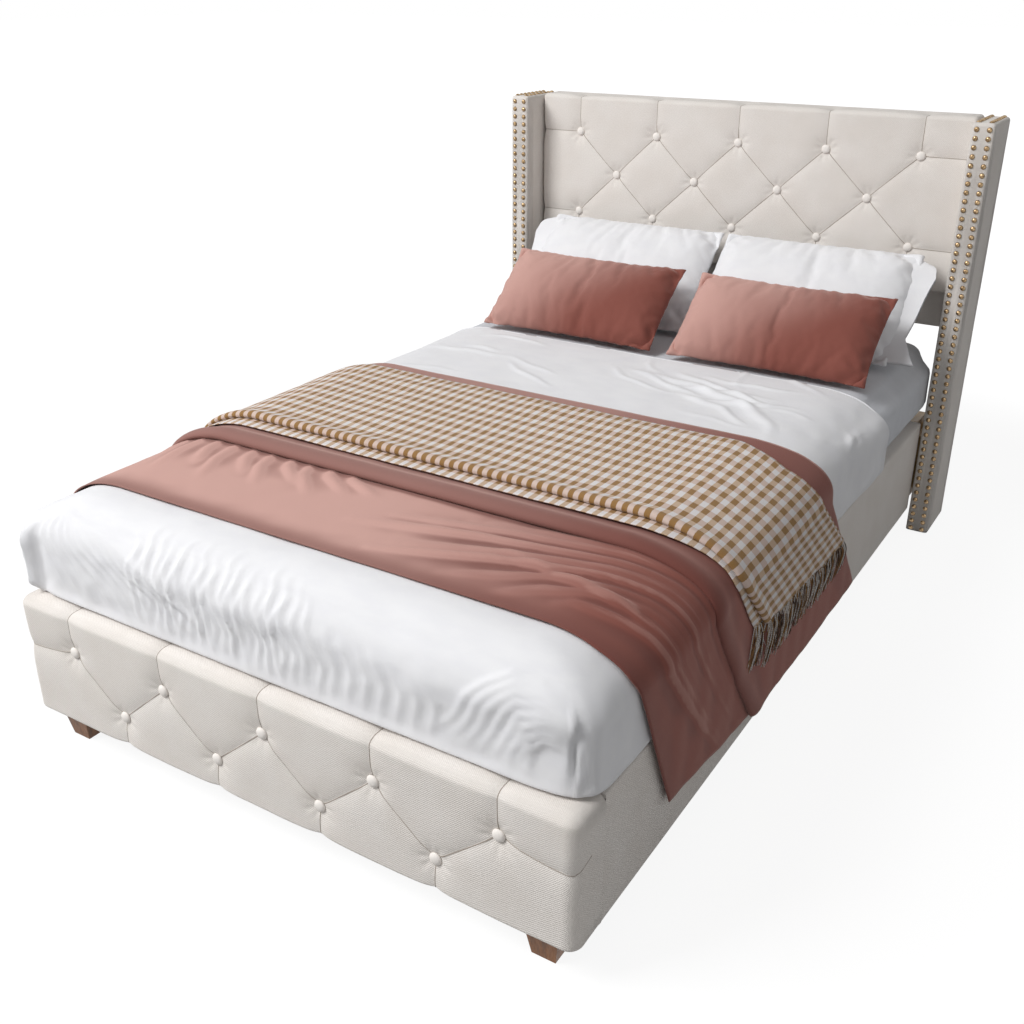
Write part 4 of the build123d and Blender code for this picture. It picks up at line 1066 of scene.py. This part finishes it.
def velvet_finish(name, painted_light_reach, blend, painted_top_light=0.0):
    """Dusty rose velvet with painted light and sheen: paler on its left, where the light falls, and darker
    to its right.
    """
    finish = Finish(name, roughness=0.9)
    place = finish.flat()
    across, along, _ = finish.parts(place)
    pile = finish.noise(place, 900, detail=2)
    patches = finish.noise(place, 5.0, detail=2)
    out = finish.plus(across, finish.times(patches, 0.16))
    out = finish.math("SUBTRACT", out, finish.times(along, painted_top_light))
    # painted light and sheen: the base goes from pale on the left to dark on the right, and grows paler
    # towards the top by the top-light share
    painted_light_share = finish.spread(out, painted_light_reach - blend, painted_light_reach + blend, 1.0, 0.0)
    base = finish.mix(painted_light_share, (124, 67, 56), (206, 164, 154))
    # painted highlight on the cloth's crests, and painted shade in its hollows, on its rolled fold and under
    # it
    painted_light_and_shade = finish.node("Attribute", attribute_name=PAINTED_LIGHT_AND_SHADE)["Fac"]
    base = finish.mix(finish.spread(painted_light_and_shade, 0.2, 1.0, 0.0, 0.28), base, (206, 162, 151))
    base = finish.mix(finish.spread(painted_light_and_shade, -0.9, -0.1, 0.70, 0.0), base, (98, 52, 45))
    finish.paint(finish.spread(pile, 0.25, 0.75, 0.22, 0.0), base, (120, 70, 62))
    finish.bump(pile, 0.0005, 0.5)
    finish.sheen(0.35, 0.4, (255, 220, 210))
    return finish.material


def cotton_finish(name, light, dark):
    """Plain cotton, with a fine weave and light creasing."""
    finish = Finish(name, roughness=0.8)
    place = finish.flat()
    across, along, _ = finish.parts(place)
    crease = finish.noise(finish.stretch(place, (1.0, 1.6, 1.0)), 14, roughness=0.5)
    # painted shade: the crease hollows are painted a touch darker than the crease tops
    finish.paint(finish.spread(crease, 0.25, 0.7), dark, light)
    finish.bump(crease, 0.0020, 0.30)
    finish.bump(finish.weave(across, along, (0.0016, 0.0016)), 0.0002, 0.5)
    finish.sheen(0.06, 0.5, WHITE)
    return finish.material


def gingham_finish():
    """Checked cloth woven from mustard and white yarn."""
    finish = Finish("gingham_weave", roughness=0.85)
    place = finish.flat()
    across, along, _ = finish.parts(place)
    slub = finish.noise(place, 420)
    wobble = finish.times(finish.math("SUBTRACT", slub, 0.5), 0.5)
    shifted = finish.plus(along, CHECK_LENGTH / 2)
    column, row = (finish.spread(finish.threads(coordinate, period, wobble), -0.08, 0.08)
                   for coordinate, period in ((across, CHECK_WIDTH), (shifted, CHECK_LENGTH)))
    plain = finish.mix(row, (244, 240, 241), (224, 202, 191))
    dyed = finish.mix(row, (214, 186, 158), (154, 114, 60))
    weave = finish.weave(across, along, (0.0024, 0.0024), slub)
    check = finish.mix(column, plain, dyed)
    finish.paint(finish.spread(weave, -1.0, 0.6, 0.18, 0.0), check, (120, 96, 70))
    finish.bump(weave, 0.0006, 0.8)
    finish.sheen(0.10, 0.5, (255, 250, 240))
    return finish.material


def yarn_finish():
    """Fringe strands of white, mustard and brown yarn."""
    finish = Finish("fringe_yarn", roughness=0.9)
    shade, along, _ = finish.parts(finish.flat())
    pale = finish.mix(finish.spread(shade, 0.45, 0.47), (238, 234, 230), (150, 112, 62))
    strand = finish.mix(finish.spread(shade, 0.74, 0.76), pale, (70, 50, 38))
    twist = finish.threads(along, 0.0046)
    finish.paint(finish.spread(twist, -0.4, 1.0, 0.0, 0.4), strand, (92, 70, 52))
    finish.bump(twist, 0.0005)
    return finish.material


def speckled_finish(name, dark, light, scale, detail, depth, roughness, limits=(0.3, 0.7), metal=()):
    """Metal or plastic with fine spots. metal is its roughness in the dark and the light spots."""
    finish = Finish(name, roughness, metallic=1.0 if metal else 0.0)
    spots = finish.noise(finish.space(), scale, detail)
    finish.paint(finish.spread(spots, *limits), dark, light)
    if metal:
        finish.set("Roughness", finish.spread(spots, 0.3, 0.7, *metal))
    finish.bump(spots, depth, 0.4)
    return finish.material


def wood_finish(name, light, dark, lengthways, ring):
    """Wood with its grain along one axis."""
    gloss = 0.45
    finish = Finish(name, roughness=gloss)
    place = finish.space()

    def grain_noise(squeeze, scale, detail, roughness):
        stretched = finish.stretch(place, [squeeze if k == lengthways else 1.0 for k in range(3)])
        return finish.noise(stretched, scale, detail, roughness)

    fine = grain_noise(0.05, 420, 3, 0.55)
    grain = finish.plus(finish.times(grain_noise(0.08, ring, 4, 0.6), 0.75), finish.times(fine, 0.25))
    finish.paint(finish.spread(grain, 0.36, 0.64), dark, light)
    finish.set("Roughness", finish.spread(fine, 0.3, 0.7, gloss + 0.08, gloss - 0.06))
    finish.bump(grain, 0.0008, 0.5)
    return finish.material


def webbing_finish(name, light, dark, pitch):
    """Woven webbing or backing cloth, without flat coordinates of its own."""
    finish = Finish(name, roughness=0.9)
    place = finish.space()
    x, y, z = finish.parts(place)
    weave = finish.weave(finish.plus(x, y), finish.plus(z, y), (pitch, pitch))
    height = finish.plus(finish.times(weave, 0.4), finish.noise(place, 300))
    finish.paint(finish.spread(height, 0.1, 0.9), dark, light)
    finish.bump(height, 0.0005, 0.7)
    return finish.material


def dress_frame():
    """Materials and softened edges for the frame's own nodes that stay."""
    linen = linen_finish("linen_plain", flat=False)
    backing = webbing_finish("backing_cloth_black", (62, 60, 58), (40, 39, 38), 0.0018)
    strap = webbing_finish("strap_webbing", (70, 70, 72), (42, 42, 44), 0.0024)
    steel = speckled_finish("zinc_plated_steel", (150, 152, 156), (190, 192, 196), scale=130,
                            detail=4, depth=0.0002, roughness=0.35, metal=(0.46, 0.30))
    plastic = speckled_finish("moulded_plastic", (44, 44, 46), (56, 56, 59), scale=900, detail=2,
                              depth=0.0003, roughness=0.5)
    oak = wood_finish("oak_foot", (136, 82, 26), (90, 50, 10), 2, ring=55)
    slats = wood_finish("slat_poplar", (222, 196, 152), (196, 164, 116), 0, ring=30)
    timbers = [wood_finish("timber_" + way, (214, 184, 138), (182, 146, 98), axis, ring=26)
               for axis, way in enumerate(("across", "along", "upright"))]
    chosen = {"headboard_lower_cloth": linen, "headboard_back_cloth": backing,
              "footboard_back_cloth": backing, "slat_straps": strap, "slats": slats, "foot_left": oak,
              "foot_right": oak, "wing_glides": plastic, "centre_leg_glides": plastic}
    for name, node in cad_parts.items():
        if node.hide_render:
            continue
        low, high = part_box(name)
        material = chosen.get(name, timbers[int(np.argmax(np.array(high - low)))])
        if any(word in name for word in STEEL_WORDS):
            material = steel
        node.data.materials.clear()
        node.data.materials.append(material)
        edge = node.modifiers.new("worn edge", "BEVEL")
        edge.width = WOOD_EDGE if material in (oak, slats, *timbers) else OTHER_EDGE
        edge.segments = 2
        edge.limit_method = "ANGLE"


# Floor, light and camera


def floor():
    """A floor that fades to white away from the bed and keeps the bed's shadow."""
    corners = [(x * FLOOR_REACH, y * FLOOR_REACH, 0) for x, y in ((-1, -1), (1, -1), (1, 1), (-1, 1))]
    item = piece("studio_floor", corners, [(0, 1, 2, 3)])
    finish = Finish("studio_white", roughness=0.95)
    seen = finish.seen()
    finish.paint(seen, (160, 160, 160), (236, 236, 236))
    x, y, _ = finish.parts(finish.space())
    away = finish.math("SQRT", finish.plus(finish.times(x, x), finish.times(y, y)))
    glow = finish.node("Emission", {"Color": WHITE, "Strength": FLOOR_GLOW})[0]
    share = finish.times(seen, finish.spread(away, 1.9, 3.0, 0.84, 1.0))
    blend = finish.node("MixShader", {0: share, 1: finish.shader.outputs[0], 2: glow})[0]
    output = next(n for n in finish.tree.nodes if n.type == "OUTPUT_MATERIAL")
    finish.put(blend, output.inputs["Surface"])
    item.data.materials.append(finish.material)


def studio_light():
    """A dim white room that looks bright white, and two area lights."""
    world = bpy.data.worlds.new("studio")
    bpy.context.scene.world = world
    world.use_nodes = True
    world.node_tree.nodes.clear()
    room = Nodes(world.node_tree)
    lit, shown = (room.node("Background", {"Color": WHITE, "Strength": strength})[0]
                  for strength in (ROOM_LIGHT, 1.0))
    blend = room.node("MixShader", {0: room.seen(), 1: lit, 2: shown})[0]
    room.node("OutputWorld", {"Surface": blend})
    for name, place, size, power in LIGHTS:
        data = bpy.data.lights.new(name, "AREA")
        data.size = size
        data.energy = power
        lamp = bpy.data.objects.new(name, data)
        lamp.location = place
        lamp.rotation_euler = (Vector(LIGHTS_AIM) - Vector(place)).to_track_quat("-Z", "Y").to_euler()
        bpy.context.scene.collection.objects.link(lamp)


def camera():
    data = bpy.data.cameras.new("camera")
    data.lens = CAMERA_LENS
    data.sensor_width = CAMERA_SENSOR
    item = bpy.data.objects.new("camera", data)
    item.location = CAMERA_PLACE
    item.rotation_euler = Euler((pi / 2 - CAMERA_DIP, 0.0, CAMERA_TURN))
    bpy.context.scene.collection.objects.link(item)
    bpy.context.scene.camera = item


def main():
    bpy.context.scene.view_settings.view_transform = "Standard"
    camera()
    studio_light()
    floor()
    linen = linen_finish("linen_weave")
    seam_shade = seam_shade_finish()
    cotton = cotton_finish("white_cotton_weave", (233, 233, 235), (229, 229, 232))
    sheet = cotton_finish("grey_sheet_weave", (206, 208, 213), (200, 202, 207))
    brass = speckled_finish("aged_brass", (120, 98, 72), (186, 160, 124), scale=240, detail=3,
                            depth=0.0003, roughness=0.38, limits=(0.35, 0.65), metal=(0.46, 0.28))
    headboard(linen, seam_shade)
    footboard(linen, seam_shade)
    wings(linen, brass)
    side_rails(linen)
    mattress(sheet)
    duvet(cotton)
    arch = Arch()
    bedspread(arch, velvet_finish("spread_velvet", 0.40, blend=0.32))
    throw(arch, gingham_finish(), yarn_finish())
    pillows(cotton)
    cushions(velvet_finish("cushion_velvet", 0.02, blend=0.24, painted_top_light=0.9))
    dress_frame()


main()
